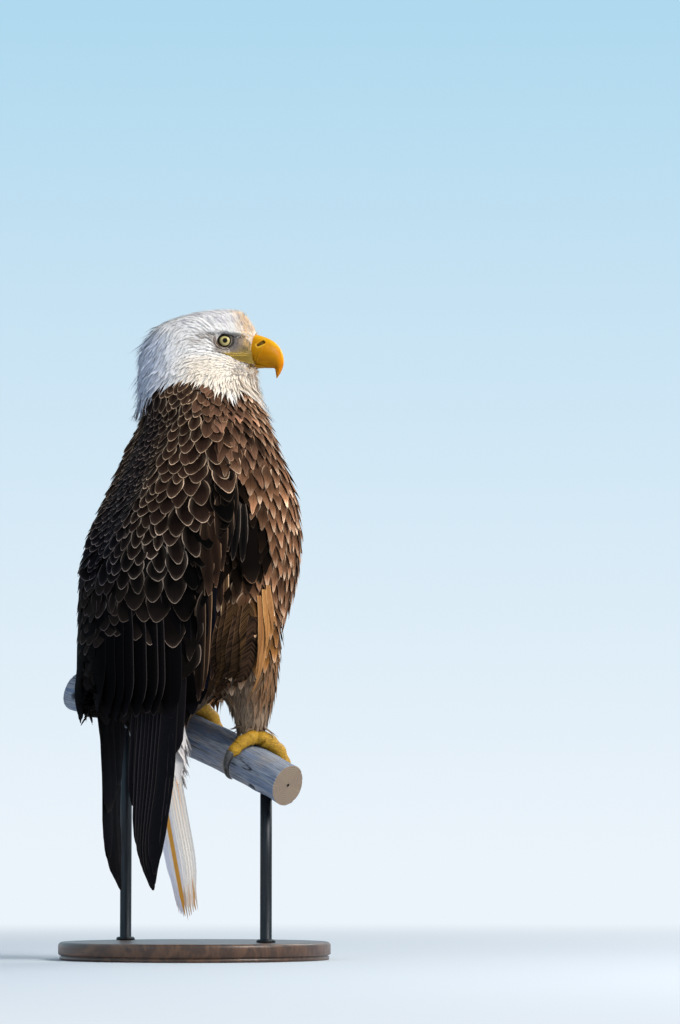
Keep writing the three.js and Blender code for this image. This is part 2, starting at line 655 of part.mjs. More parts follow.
// In the order of cutting. A piece gives way to every piece before it, by the gap. The head, the neck and
// the trunk are one mass parted level, so they only give way to the pieces let into them.
const pieces = [
  { name: "stand_base", colour: "base", make: baseMass },
  { name: "perch", colour: "bark", make: perchMass },
  { name: "stand_rod_left", colour: "steel", make: rodMass(ROD.left) },
  { name: "stand_rod_right", colour: "steel", make: rodMass(-ROD.right) },
  ...sides.flatMap(({ label, foot }) =>
    foot.claws.map((make, i) => ({ name: `claw_${TOES[i].name}_${label}`, colour: "claw", make })),
  ),
  ...sides.flatMap(({ label, foot }) => [
    { name: `foot_${label}`, colour: "leg", make: joined(foot.pad, ...foot.toes) },
    { name: `shank_${label}`, colour: "leg", make: foot.shank },
  ]),
  { name: "bill_upper", colour: "bill", make: billMass(UPPER_BILL, 14, 1.75) },
  { name: "bill_lower", colour: "bill", make: billMass(LOWER_BILL, 10, 2.1) },
  ...sides.flatMap(({ label, sign }) => [
    { name: `eye_${label}`, colour: "eye", make: eyeMass(sign) },
    { name: `wing_${label}`, colour: "brown", make: armMass(sign) },
  ]),
  ...sides.map(({ label, sign }) => ({ name: `primaries_${label}`, colour: "brown", make: handMass(sign) })),
  { name: "tail", colour: "white", make: tailMass },
  ...sides.map(({ label, sign }) => ({ name: `thigh_${label}`, colour: "brown", make: thighMass(sign) })),
  { name: "head", colour: "white", make: between(torso, JAW + GAP, 600), parted: true },
  { name: "neck", colour: "white", make: between(torso, COLLAR + GAP, JAW), parted: true },
  { name: "trunk", colour: "brown", make: between(torso, -40, COLLAR), parted: true },
  { name: "tail_coverts", colour: "white", make: covertsMass },
];

// Cuts a piece back from the pieces before it, and keeps its largest body.
function cutBack(piece, earlier) {
  let made = piece.make(0);
  for (const other of earlier) {
    if (other.parted && (piece.parted || other.name !== "trunk")) continue;
    const tool = other.parted ? trunkMass(GAP) : other.make(GAP);
    if (made.intersect(tool).volume() > 0) made = made.subtract(tool);
  }
  return made.decompose().sort((a, b) => b.volume() - a.volume())[0];
}

// A solid as a three.js mesh with its own material.
function meshOf(piece, made) {
  const { vertProperties, triVerts, numProp } = made.getMesh();
  const geometry = new THREE.BufferGeometry();
  geometry.setAttribute("position", new THREE.BufferAttribute(new Float32Array(vertProperties), numProp));
  geometry.setIndex(new THREE.BufferAttribute(new Uint32Array(triVerts), 1));
  geometry.computeVertexNormals();
  const mesh = new THREE.Mesh(geometry, new THREE.MeshStandardMaterial(COLOURS[piece.colour]));
  mesh.name = piece.name;
  return mesh;
}

const eagle = new THREE.Group();
eagle.position.set(BASE.right, BASE.ahead, 0);
pieces.forEach((piece, i) => eagle.add(meshOf(piece, cutBack(piece, pieces.slice(0, i)))));

export default eagle;
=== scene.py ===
import math

import bpy
import numpy as np
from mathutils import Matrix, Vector, kdtree
from mathutils.bvhtree import BVHTree


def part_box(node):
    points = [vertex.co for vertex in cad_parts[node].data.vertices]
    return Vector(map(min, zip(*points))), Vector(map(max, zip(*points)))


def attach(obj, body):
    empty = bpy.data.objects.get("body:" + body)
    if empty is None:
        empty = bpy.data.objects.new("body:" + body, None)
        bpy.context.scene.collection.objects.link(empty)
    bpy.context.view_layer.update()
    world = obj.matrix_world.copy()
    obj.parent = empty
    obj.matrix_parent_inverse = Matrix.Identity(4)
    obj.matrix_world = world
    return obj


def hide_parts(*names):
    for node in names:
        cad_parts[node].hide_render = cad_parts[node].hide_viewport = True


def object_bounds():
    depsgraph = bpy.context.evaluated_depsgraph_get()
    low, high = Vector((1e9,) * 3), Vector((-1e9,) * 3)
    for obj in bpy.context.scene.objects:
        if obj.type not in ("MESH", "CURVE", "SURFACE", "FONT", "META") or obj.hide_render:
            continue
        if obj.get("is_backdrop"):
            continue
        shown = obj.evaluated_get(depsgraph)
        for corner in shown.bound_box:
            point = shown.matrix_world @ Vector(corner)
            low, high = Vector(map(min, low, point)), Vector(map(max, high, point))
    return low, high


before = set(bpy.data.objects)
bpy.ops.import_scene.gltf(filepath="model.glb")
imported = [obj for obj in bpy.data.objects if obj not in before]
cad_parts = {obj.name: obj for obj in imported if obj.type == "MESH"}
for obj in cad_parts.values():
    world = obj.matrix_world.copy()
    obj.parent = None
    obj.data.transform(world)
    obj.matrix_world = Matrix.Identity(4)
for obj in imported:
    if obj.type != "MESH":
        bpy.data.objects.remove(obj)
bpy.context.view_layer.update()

# ------------------------------------------------------------------ display base
# A round plinth turned from one walnut board, its top edge rounded over and a bead cut below it.
# It is oiled and waxed to a low shine, and its grain runs straight across the top.


class Wire:
    """One output of a node. Ordinary sums on it add Math nodes to its material."""

    def __init__(self, finish, socket):
        self.finish, self.socket = finish, socket

    def maths(self, operation, *values):
        return self.finish.node("ShaderNodeMath", {"operation": operation}, dict(enumerate(values)))

    def __add__(self, other):
        return self.maths("ADD", self, other)

    def __radd__(self, other):
        return self.maths("ADD", other, self)

    def __sub__(self, other):
        return self.maths("SUBTRACT", self, other)

    def __rsub__(self, other):
        return self.maths("SUBTRACT", other, self)

    def __mul__(self, other):
        return self.maths("MULTIPLY", self, other)

    def __rmul__(self, other):
        return self.maths("MULTIPLY", other, self)

    def __abs__(self):
        return self.maths("ABSOLUTE", self)

    def waves(self):
        return self.maths("SINE", self)

    def most(self, *others):
        """The greatest of this and the others."""
        found = self
        for other in others:
            found = self.maths("MAXIMUM", found, other)
        return found

    def step(self, low, high):
        """0 where the value is low, 1 where it is high, and an eased slope between."""
        span = {"Value": self, "From Min": low, "From Max": high}
        return self.finish.node("ShaderNodeMapRange", {"interpolation_type": "SMOOTHSTEP"}, span)


class Finish:
    """A material, or the sky, made of nodes round one shader."""

    def __init__(self, name, plain, kind="materials", shader="Principled BSDF"):
        self.made = getattr(bpy.data, kind).new(name)
        self.made.use_nodes = True
        self.tree = self.made.node_tree
        self.shader = self.tree.nodes[shader]
        self.give(plain)

    def give(self, values, node=None):
        """Sets or links sockets of a node, or of the shader."""
        for key, value in values.items():
            socket = (node or self.shader).inputs[key]
            if isinstance(value, Wire):
                self.tree.links.new(value.socket, socket)
            elif socket.type == "RGBA" and len(value) == 3:
                socket.default_value = (*value, 1)
            else:
                socket.default_value = value

    def node(self, kind, settings=None, values=None, out=0):
        """Adds a node: its settings first, then its sockets, and gives one of its outputs."""
        made = self.tree.nodes.new(kind)
        for key, value in (settings or {}).items():
            setattr(made, key, value)
        self.give(values or {}, made)
        return Wire(self, made.outputs[out])

    def mix(self, share, first, second):
        """Mixes two colours."""
        return self.node("ShaderNodeMix", {"data_type": "RGBA"}, {0: share, 6: first, 7: second}, 2)

    def vector(self, operation, vector, other=(0, 0, 0), out=0):
        return self.node("ShaderNodeVectorMath", {"operation": operation}, {0: vector, 1: other}, out)

    def place(self, stretch=(1, 1, 1)):
        """The place on the piece in metres, stretched along the three axes."""
        return self.vector("MULTIPLY", self.node("ShaderNodeTexCoord", out="Object"), stretch)

    def noise(self, vector, scale, detail=4.0, rough=0.55):
        values = {"Vector": vector, "Scale": scale, "Detail": detail, "Roughness": rough}
        return self.node("ShaderNodeTexNoise", {}, values)

    def read(self, name, out="Fac"):
        """A number, vector or colour kept on the mesh."""
        return self.node("ShaderNodeAttribute", {"attribute_name": name}, out=out)

    def bump(self, height, depth, strength=1.0):
        raised = self.node("ShaderNodeBump", {}, {"Height": height, "Distance": depth, "Strength": strength})
        self.give({"Normal": raised})


def tint(red, green, blue):
    """A colour given as 0 to 255 on a screen, in the numbers that light is added in."""
    shown = np.array((red, green, blue)) / 255
    return np.where(shown <= 0.04, shown / 12.92, ((shown + 0.055) / 1.055) ** 2.4)


def shaped(name, points, faces, finishes, kept=None, maps=None, which=None):
    """A piece from arrays. kept holds numbers for each point, maps holds UV places for each point."""
    mesh = bpy.data.meshes.new(name)
    groups = [np.asarray(group, np.int32) for group in faces if len(group)]
    corners = np.concatenate([group.ravel() for group in groups])
    sizes = np.concatenate([np.full(len(group), group.shape[1]) for group in groups])
    mesh.vertices.add(len(points))
    mesh.vertices.foreach_set("co", np.asarray(points, np.float32).ravel())
    mesh.loops.add(len(corners))
    mesh.loops.foreach_set("vertex_index", corners)
    mesh.polygons.add(len(sizes))
    mesh.polygons.foreach_set("loop_start", np.concatenate(([0], np.cumsum(sizes)[:-1])).astype(np.int32))
    mesh.update(calc_edges=True)
    for key, values in (kept or {}).items():
        width = 1 if values.ndim == 1 else values.shape[1]
        kinds = {1: ("FLOAT", "value"), 3: ("FLOAT_VECTOR", "vector"), 4: ("FLOAT_COLOR", "color")}
        kind, part = kinds[width]
        stored = mesh.attributes.new(key, kind, "POINT")
        stored.data.foreach_set(part, np.asarray(values, np.float32).ravel())
    for key, values in (maps or {}).items():
        mesh.uv_layers.new(name=key).data.foreach_set("uv", np.asarray(values, np.float32)[corners].ravel())
    for finish in finishes:
        mesh.materials.append(finish.made)
    if which is not None:
        mesh.polygons.foreach_set("material_index", np.asarray(which, np.int32))
    mesh.shade_smooth()
    piece = bpy.data.objects.new(name, mesh)
    bpy.context.scene.collection.objects.link(piece)
    return piece


def grid(rows, columns, wrap=False):
    """Four-cornered faces over rows of points. wrap joins each row's end to its start."""
    count = columns if wrap else columns - 1
    row, column = np.meshgrid(np.arange(rows - 1), np.arange(count), indexing="ij")
    low = (row * columns + column).ravel()
    beside = (row * columns + (column + 1) % columns).ravel()
    return np.stack((low, beside, beside + columns, low + columns), 1)


def turned(profile, centre, sides):
    """Points and faces of a shape turned about an upright line, from (radius, height) pairs."""
    radius, height = np.array(profile).T
    angle = np.linspace(0, 2 * math.pi, sides, endpoint=False)
    x = centre[0] + radius[:, None] * np.cos(angle)
    y = centre[1] + radius[:, None] * np.sin(angle)
    points = np.stack((x, y, np.broadcast_to(height[:, None], x.shape)), 2)
    return points.reshape(-1, 3), grid(len(profile), sides, wrap=True)


def middle(node):
    """The middle of a node's box."""
    low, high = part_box(node)
    return np.array((low + high) / 2)


BASE_ROUND = 0.005  # of the top edge
AXIS_GAP = 0.0002  # how near a turned shape comes to its axis
base_low, base_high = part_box("stand_base")
base_radius = (base_high.x - base_low.x) / 2
round_over = [
    (base_radius - BASE_ROUND * (1 - math.cos(turn)), base_high.z - BASE_ROUND * (1 - math.sin(turn)))
    for turn in np.linspace(0, math.pi / 2, 9)
]
bead = [  # how far in from the edge, and the height
    (0.0035, 0), (0.002, 0.0006), (0.0016, 0.0035), (0.0032, 0.0042),
    (0.0032, 0.0052), (0.0012, 0.006), (0, 0.0075),
]
base_profile = [
    (AXIS_GAP, 0), *[(base_radius - inward, height) for inward, height in bead], *round_over,
    (base_radius - 0.012, base_high.z), (base_radius * 0.6, base_high.z), (AXIS_GAP, base_high.z),
]

walnut = Finish("oiled_walnut", {"Roughness": 0.42, "Coat Weight": 0.25, "Coat Roughness": 0.22})
board = walnut.place((1.6, 22, 9))
figure = walnut.noise(walnut.place((1, 7, 3)), 5, 3)
lines = walnut.noise(board, 9, 8, 0.65)
pores = walnut.noise(walnut.place((14, 420, 300)), 1.0, 2)
rings = (figure * 34 + lines * 5).waves() * 0.5 + 0.5
wood = walnut.mix(rings, tint(70, 44, 28), tint(104, 70, 46))
wood = walnut.mix(lines.step(0.35, 0.75) * 0.6, wood, tint(52, 32, 20))
wood = walnut.mix(pores.step(0.62, 0.72) * 0.55, wood, tint(30, 18, 12))
walnut.give({"Base Color": wood, "Roughness": 0.36 + lines * 0.18})
walnut.bump(rings * 0.3 + lines - pores.step(0.6, 0.75) * 0.8, 0.00025)
points, faces = turned(base_profile, (0, 0), 160)
base = shaped("stand_base_turned", points, [faces], [walnut])
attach(base, "root")
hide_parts("stand_base")

# ------------------------------------------------------------------ rods
# Two bars of round steel, blackened and oiled, that stand in bored holes in the base. Each carries a
# thin turned collar where it leaves the wood, and runs up into the underside of the perch.
COLLAR = 0.0045  # its width beyond the bar
COLLAR_HIGH = 0.004
steel = Finish("blackened_steel", {"Metallic": 0.9, "Specular IOR Level": 0.5})
drawn = steel.noise(steel.place((90, 90, 6)), 6, 5)
blackened = steel.mix(drawn, tint(26, 27, 29), tint(62, 63, 66))
steel.give({"Base Color": blackened, "Roughness": 0.34 + drawn * 0.2})
steel.bump(drawn, 0.00008)
SIDES = (("left", -1), ("right", 1))
for side, _ in SIDES:
    low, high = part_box(f"stand_rod_{side}")
    radius = (high.x - low.x) / 2
    collar = [  # how far out of the bar, and the height over the base
        (0, 0), (COLLAR, 0.0002), (COLLAR, COLLAR_HIGH * 0.6), (COLLAR * 0.6, COLLAR_HIGH),
        (0.0003, COLLAR_HIGH), (0, COLLAR_HIGH + 0.0004),
    ]
    profile = [
        (AXIS_GAP, low.z), (radius, low.z), *[(radius + out, base_high.z + up) for out, up in collar],
        (radius, (low.z + high.z) / 2), (radius, high.z), (AXIS_GAP, high.z),
    ]
    points, faces = turned(profile, middle(f"stand_rod_{side}"), 48)
    rod = shaped(f"stand_rod_{side}_bar", points, [faces], [steel])
    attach(rod, "root")
    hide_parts(f"stand_rod_{side}")

# ------------------------------------------------------------------ perch
# A cut length of dead branch that has lost its bark and stood in the weather for years: silver grey
# with broad patches of painted bluish shade, as of sky light, checked along the grain, with healed knots,
# and sawn square at both ends. Painted shade darkens its cracks and the hollows of its knots.
MIDDLE = np.array((-0.014, -0.024, 0.272))  # between the soles, at the height of the right one
# In metres, with left and right as the bird has them: sweep is its slope back, rise its slope up to the
# left, sag how much that falls off, and top how high its upper side lies over the middle.
PERCH = {
    "radius": 0.0255, "left": 0.245, "right": 0.118, "sweep": 0.3, "rise": 0.385, "sag": 0.28, "top": 0.018,
}


def unit(vectors):
    return vectors / np.maximum(np.linalg.norm(vectors, axis=-1, keepdims=True), 1e-12)


def ease(low, high, values):
    """0 below low, 1 above high, and an eased slope between. low may be the greater."""
    share = np.clip((values - low) / (high - low), 0, 1)
    return share * share * (3 - 2 * share)


def wander(points, size, seed, waves=9):
    """A smooth wandering number about 0 for each point, with bumps of about that size."""
    dice = np.random.default_rng(seed)
    heading = unit(dice.normal(size=(waves, 3))) * (2 * math.pi / size) * dice.uniform(0.6, 1.5, (waves, 1))
    return np.sin(points @ heading.T + dice.uniform(0, 6.28, waves)).sum(-1) / math.sqrt(waves)


def perch_point(left):
    left = np.asarray(left, float)
    lift = PERCH["rise"] * left - PERCH["sag"] * left * left
    return MIDDLE + np.stack((left, PERCH["sweep"] * left, PERCH["top"] - PERCH["radius"] + lift), -1)


perch_along = unit(np.array((1, PERCH["sweep"], PERCH["rise"])))
perch_ahead = unit(np.cross(perch_along, (0, 0, 1)))
perch_up = np.cross(perch_ahead, perch_along)


def round_perch(left, angle, over):
    """A point at an angle round the perch, from straight up towards the front, and a height over it."""
    reach = (PERCH["radius"] + np.asarray(over))[..., None]
    turn = np.cos(angle)[..., None] * perch_up + np.sin(angle)[..., None] * perch_ahead
    return perch_point(left) + turn * reach


KNOTS = [  # how far along, the angle round, and the width and height
    (0.178, 2.0, 0.016, 0.0035), (0.098, 0.4, 0.011, 0.0022),
    (-0.082, 3.9, 0.012, 0.0024), (0.226, 4.6, 0.01, 0.002),
]
PERCH_SIDES, PERCH_RINGS = 120, 330


def rolled(angle, left, stretch=1.0):
    """Places on a straight round bar of the perch's width, for patterns that join up round it."""
    return np.stack((np.cos(angle) * PERCH["radius"], np.sin(angle) * PERCH["radius"], left * stretch), -1)


angle, left = np.meshgrid(
    np.linspace(0, 2 * math.pi, PERCH_SIDES, endpoint=False),
    np.linspace(-PERCH["right"], PERCH["left"], PERCH_RINGS),
)
bark_place = rolled(angle, left, 0.06).reshape(-1, 3)
over_bark = lambda along, size, seed, waves=9: (
    wander(bark_place * (1, 1, along), size, seed, waves).reshape(angle.shape)
)
fibres = over_bark(1, 0.0045, 3)
crack = ease(0.16, 0.0, np.abs(over_bark(0.8, 0.011, 4, 7))) * ease(-0.3, 0.9, over_bark(7, 0.03, 5))
swell = over_bark(14, 0.05, 6)
bulge = np.zeros_like(angle)
hollow = np.zeros_like(angle)
for knot_left, knot_angle, size, height in KNOTS:
    turn = np.abs((angle - knot_angle + math.pi) % (2 * math.pi) - math.pi) * PERCH["radius"]
    away = np.hypot(turn, left - knot_left) / size
    bulge += height * np.exp(-away ** 2)
    hollow = np.maximum(hollow, ease(0.55, 0.3, away))
over = 0.0006 * np.sin(2 * angle + left / 0.031) + swell * 0.0006 + bulge - hollow * 0.0022
over += fibres * 0.00016 - crack * 0.0011
body = round_perch(left, angle, over)
# Each sawn end closes in flat rings, with checks that run out from the pith.
end_rows = []
for end, row in ((0, body[0]), (-1, body[-1])):
    pith = perch_point(left[end, 0])
    end_rows.append([pith + (row - pith) * share for share in (0.985, 0.9, 0.72, 0.5, 0.28, 0.08)])
rows = np.array([*end_rows[0][::-1], *body, *end_rows[1]])
edge = len(end_rows[0])
sawn = np.zeros(rows.shape[:2])
sawn[:edge] = sawn[-edge:] = 1
# The cracks and the hollows of the knots, which get painted shade.
worn = np.zeros(rows.shape[:2])
worn[edge:-edge] = np.clip(crack + hollow * 0.9, 0, 1)
along_grain = np.concatenate((np.repeat(left[:1], edge, 0), left, np.repeat(left[-1:], edge, 0)))
grain_place = rolled(np.broadcast_to(angle[0], along_grain.shape), along_grain)
driftwood = Finish("weathered_branch", {"Roughness": 0.82, "Specular IOR Level": 0.3})
grain = driftwood.read("grain", "Vector")
stretched = driftwood.vector("MULTIPLY", grain, (1, 1, 0.05))
fibre = driftwood.noise(stretched, 900, 6, 0.65)
broad = driftwood.noise(stretched, 130, 4)
patch = driftwood.noise(driftwood.place(), 26, 4)
cut = driftwood.read("sawn")
grey = driftwood.mix(fibre.step(0.3, 0.72), tint(92, 98, 112), tint(178, 186, 198))
# Painted bluish shade, as of sky light, in broad patches.
grey = driftwood.mix(broad.step(0.42, 0.7) * 0.75, grey, tint(96, 118, 156))
grey = driftwood.mix(patch.step(0.5, 0.72) * 0.5, grey, tint(158, 146, 132))
# Painted shade in the cracks and the hollows of the knots.
grey = driftwood.mix(driftwood.read("worn"), grey, tint(34, 34, 42))
ring_place = driftwood.read("reach")
ringed = ((ring_place * 2600 + patch * 7).waves() * 0.5 + 0.5) * cut
grey = driftwood.mix(cut * 0.8, grey, driftwood.mix(ringed, tint(168, 142, 108), tint(120, 96, 70)))
driftwood.give({"Base Color": grey})
driftwood.bump(fibre + broad * 0.6 - driftwood.read("worn"), 0.0005)
reach = np.linalg.norm(rows - perch_point(along_grain), axis=-1)
perch = shaped(
    "perch_branch", rows.reshape(-1, 3), [grid(len(rows), PERCH_SIDES, wrap=True)[:, ::-1]], [driftwood],
    kept={
        "grain": grain_place.reshape(-1, 3), "sawn": sawn.ravel(), "worn": worn.ravel(),
        "reach": reach.ravel(),
    },
)
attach(perch, "root")
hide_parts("perch")

# ------------------------------------------------------------------ skin
# One skin over head, neck, trunk, wings and thighs, drawn in under the coat by the coat's depth. It is
# bare only round the eyes, before them and along the mouth, where it is folded into lids and gape.
FLESH = ("head", "neck", "trunk", "tail_coverts", "wing_left", "wing_right", "thigh_left", "thigh_right")
SKIN_STEP = 0.0022  # between its points
EYES_LOW = 2.8  # how far the eyes lie under the head's own middle, in millimetres
eye_middles = {side: middle(f"eye_{side}") for side in ("left", "right")}
head_middle = (eye_middles["left"] + eye_middles["right"]) / 2 + (0, 0, EYES_LOW / 1000)
head_right = unit((eye_middles["right"] - eye_middles["left"]) * (1, 1, 0))
head_ahead = np.cross(head_right, (0, 0, -1))
UP = np.array((0.0, 0.0, 1.0))


def on_bird(points):
    """Ahead of, to the right of and above the middle of the soles, in millimetres."""
    away = (points - MIDDLE) * 1000
    return -away[..., 1], -away[..., 0], away[..., 2]


def level(points):
    """How high over the right sole, in millimetres."""
    return on_bird(points)[2]


def on_head(points):
    """Ahead of, to the right of and above the middle of the eyes, in millimetres."""
    away = (points - head_middle) * 1000
    return away @ head_ahead, away @ head_right, away[..., 2]


def head_point(ahead, right, up):
    ahead, right, up = (np.asarray(v, float)[..., None] / 1000 for v in (ahead, right, up))
    return head_middle + ahead * head_ahead + right * head_right + up * UP


def arrays_of(mesh):
    points = np.zeros(len(mesh.vertices) * 3, np.float32)
    mesh.vertices.foreach_get("co", points)
    corners = np.zeros(len(mesh.loops), np.int32)
    mesh.loops.foreach_get("vertex_index", corners)
    return points.reshape(-1, 3).astype(float), corners.reshape(len(mesh.polygons), -1)


def eased(points, faces, rounds, share=0.5):
    """Draws each point towards the middle of its neighbours, a few times over."""
    size = len(points)
    one, other = faces.ravel(order="F"), np.roll(faces, -1, axis=1).ravel(order="F")
    count = np.bincount(one, minlength=size) + np.bincount(other, minlength=size)
    for _ in range(rounds):
        total = np.stack([
            np.bincount(one, points[other, k], size) + np.bincount(other, points[one, k], size)
            for k in range(3)
        ], 1)
        points = points * (1 - share) + share * total / np.maximum(count, 1)[:, None]
    return points


def outward(points, faces):
    """The way out of the surface at each point."""
    across = np.cross(points[faces[:, 2]] - points[faces[:, 0]], points[faces[:, -1]] - points[faces[:, 1]])
    total = np.zeros((len(points), 3))
    for corner in faces.T:
        for k in range(3):
            total[:, k] += np.bincount(corner, across[:, k], len(points))
    return unit(total)


def joined(parts):
    """Parts, each of points and groups of faces, as one array of points and one of each group."""
    points, *groups = zip(*parts)
    starts = np.cumsum([0, *map(len, points)])
    shifted = [[faces + start for faces, start in zip(group, starts)] for group in groups]
    return np.concatenate(points), *map(np.concatenate, shifted)


def together(names):
    """The points and faces of some nodes."""
    return joined([arrays_of(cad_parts[name].data) for name in names])


def remeshed(points, faces, step):
    """One closed mesh of even four-cornered faces round all the faces given."""
    rough = shaped("rough", points, [faces], [])
    joiner = rough.modifiers.new("even", "REMESH")
    joiner.mode = "VOXEL"
    joiner.voxel_size = step
    even = bpy.data.meshes.new_from_object(rough.evaluated_get(bpy.context.evaluated_depsgraph_get()))
    bpy.data.objects.remove(rough)
    return arrays_of(even)


def fill_depth(points):
    """How wide a groove the skin bridges, in metres: widest down the back, between the folded wings."""
    ahead, _, up = on_bird(points)
    rear = ease(-60, -110, ahead) * ease(60, 110, up) * ease(405, 360, up)
    return (0.006 + 0.011 * rear) * ease(480, 440, up) * ease(10, 50, up)


def collar_height(points):
    """How high over the right sole the white of the neck ends, round the neck from the bill."""
    ahead, right, _ = on_head(points)
    turn = np.arctan2(right, ahead + 62)
    notch = 15 * np.exp(-((np.abs(turn) - 0.4) / 0.15) ** 2) + 7 * np.exp(-((np.abs(turn) - 1.1) / 0.32) ** 2)
    return 429 - 24 * np.abs(np.cos(turn)) ** 1.5 - 3 * np.clip(np.cos(turn), 0, 1) + notch


def whiteness(points, slack=0.0):
    """1 on the head, neck and tail coverts, 0 on the brown of the body."""
    ahead, _, up = on_bird(points)
    head = ease(-2, 2, up - collar_height(points) - slack)
    tail = ease(6, -6, up - 26 - 0.25 * (ahead + 40)) * ease(-38, -50, ahead)
    return np.maximum(head, tail)


def coat_depth(points):
    """How deep the coat lies over the skin, in metres."""
    ahead, _, up = on_head(points)
    face = ease(-34, 22, ahead) * ease(-52, -34, up)
    head = ease(-90, -60, up)
    crown = ease(6, 30, up) * ease(24, 12, ahead)
    return 0.0042 - 0.0022 * head - 0.0010 * face + 0.0020 * crown


def line_at(line, places):
    """A height, width or angle along a line given by a few pairs."""
    return np.interp(places, *zip(*line))


def eye_drop(a):
    """How much lower the face is set than on_head's measures say. It fades out towards the bill."""
    return EYES_LOW * ease(40, 14, a)


def dyed(colour, share, dye):
    """A colour with a share of another over it."""
    share = np.asarray(share, float)[..., None]
    return colour * (1 - share) + dye * share


def with_share(colours, share=1.0):
    """Colours with a fourth number, which says how far they count."""
    return np.hstack((colours, np.broadcast_to(np.reshape(share, (-1, 1)), (len(colours), 1))))


# The face: a fine sheet on each side, from the brow to the chin. Its measures are on_head's, with a for
# ahead and u for up, in millimetres, and off for the distance from the middle of the eye.
BROW = ((-34, 4.4), (-24, 6.0), (-16, 7.8), (-6, 9.2), (2, 9.0), (12, 7.8), (22, 7.0), (34, 6.0))
GAPE_TOP = ((-8, -15.2), (4, -14.6), (15, -13.8), (26, -13.6), (38, -14.6))
MOUTH = ((-8, -16.4), (0, -18.6), (8, -21.6), (14, -25.2), (24, -29.0), (40, -32.0))
EYE_BALL = 12.0
EYE_OUT = float(np.linalg.norm(eye_middles["right"] - eye_middles["left"]) * 500)
LID = 7.1  # the half width of the opening between the lids
FACE_STEP = 0.6
face_a, face_u = np.meshgrid(np.arange(-25, 36.6, FACE_STEP), np.arange(-36, 22, FACE_STEP))
face_down = face_u - eye_drop(face_a)


def brow_relief(a, u):
    """The ridge of the brow and the shadowed line under it."""
    brow = line_at(BROW, a)
    crest = np.exp(-((u - brow - 1.9) / 2.3) ** 2) * ease(-34, -12, a) * ease(36, 24, a)
    under = np.exp(-((u - brow + 1.0) / (1.3 + 1.1 * ease(4, 14, a))) ** 2)
    return crest, under * ease(-30, -10, a) * ease(28, 16, a)


def face_masks(a, u):
    """How far each place of the face belongs to the lids, the lores and the gape."""
    off = np.hypot(a, u)
    brow, gape_top = line_at(BROW, a), line_at(GAPE_TOP, a)
    lids = ease(11.0, 9.0, off)
    gape = ease(-0.6, 0.8, gape_top - u) * ease(-0.4, 0.6, u - line_at(MOUTH, a)) * ease(-9.5, -5, a)
    ragged = 2.2 * np.sin(a * 1.1) * np.sin(u * 0.9 + 1) + 1.2 * np.sin(a * 2.3 + u * 1.7)
    ahead_end = 29 + 7 * ease(2, -6, u)
    lores = ease(5, 9, a) * ease(ahead_end + 3.5, ahead_end - 3.5, a + ragged)
    lores = lores * ease(brow + 0.5, brow - 2.5, u + 0.5 * ragged) * ease(-3.0, -1.5, u - gape_top)
    behind = ease(-17, -9, a) * ease(4, -2, a) * ease(8.5, 5, np.abs(u + 2))
    return lids, np.maximum(lores, behind * 0.8), gape


hull, hull_faces = remeshed(*together(FLESH), SKIN_STEP)
hull = eased(hull, hull_faces, 4)
swollen = hull + outward(hull, hull_faces) * fill_depth(hull)[:, None]
hull, hull_faces = remeshed(swollen, hull_faces, SKIN_STEP)
hull = eased(hull, hull_faces, 3)
for _ in range(3):
    hull = hull - outward(hull, hull_faces) * fill_depth(hull)[:, None] / 3
hull = eased(hull, hull_faces, 1)
_, _, u = on_head(hull)
plain = ease(-70, -90, u) * ease(-60, -92, u)
hull = hull + (eased(hull, hull_faces, 40) - hull) * plain[:, None]
hull_out = outward(hull, hull_faces)
# The brow, the hollow before the eye and the socket are pressed into the skin itself.
a, r, u = on_head(hull)
u = u + eye_drop(a)
crest, under = brow_relief(a, u)
sideways = ease(0.3, 0.65, np.abs(hull_out @ head_right)) * ease(-60, -45, u)
pressed = 3.4 * crest - 1.8 * under - 1.0 * face_masks(a, u)[1]
hull = hull + head_right * (np.sign(r) * sideways * pressed / 1000)[:, None]
outer_tree = BVHTree.FromPolygons(hull.tolist(), hull_faces.tolist())
socket = ease(12.6, 10.0, np.hypot(a, u)) * (np.abs(r) > 8)
hull = hull - head_right * (np.sign(r) * socket * 3.0 / 1000)[:, None]
hull_out = outward(hull, hull_faces)
hull = hull - hull_out * coat_depth(hull)[:, None]


def outer_reach(sign):
    """How far to the side the feathered head comes at each place of the face, and where it is known."""
    start, farthest = 60, 58
    out = np.zeros(face_a.shape)
    known = np.zeros(face_a.shape, bool)
    for i in np.ndindex(face_a.shape):
        origin = head_point(face_a[i], sign * start, face_down[i])
        hit = outer_tree.ray_cast(origin, -sign * head_right)
        if hit[0] is not None and hit[3] < farthest / 1000:
            out[i], known[i] = start - hit[3] * 1000, True
    return out, known


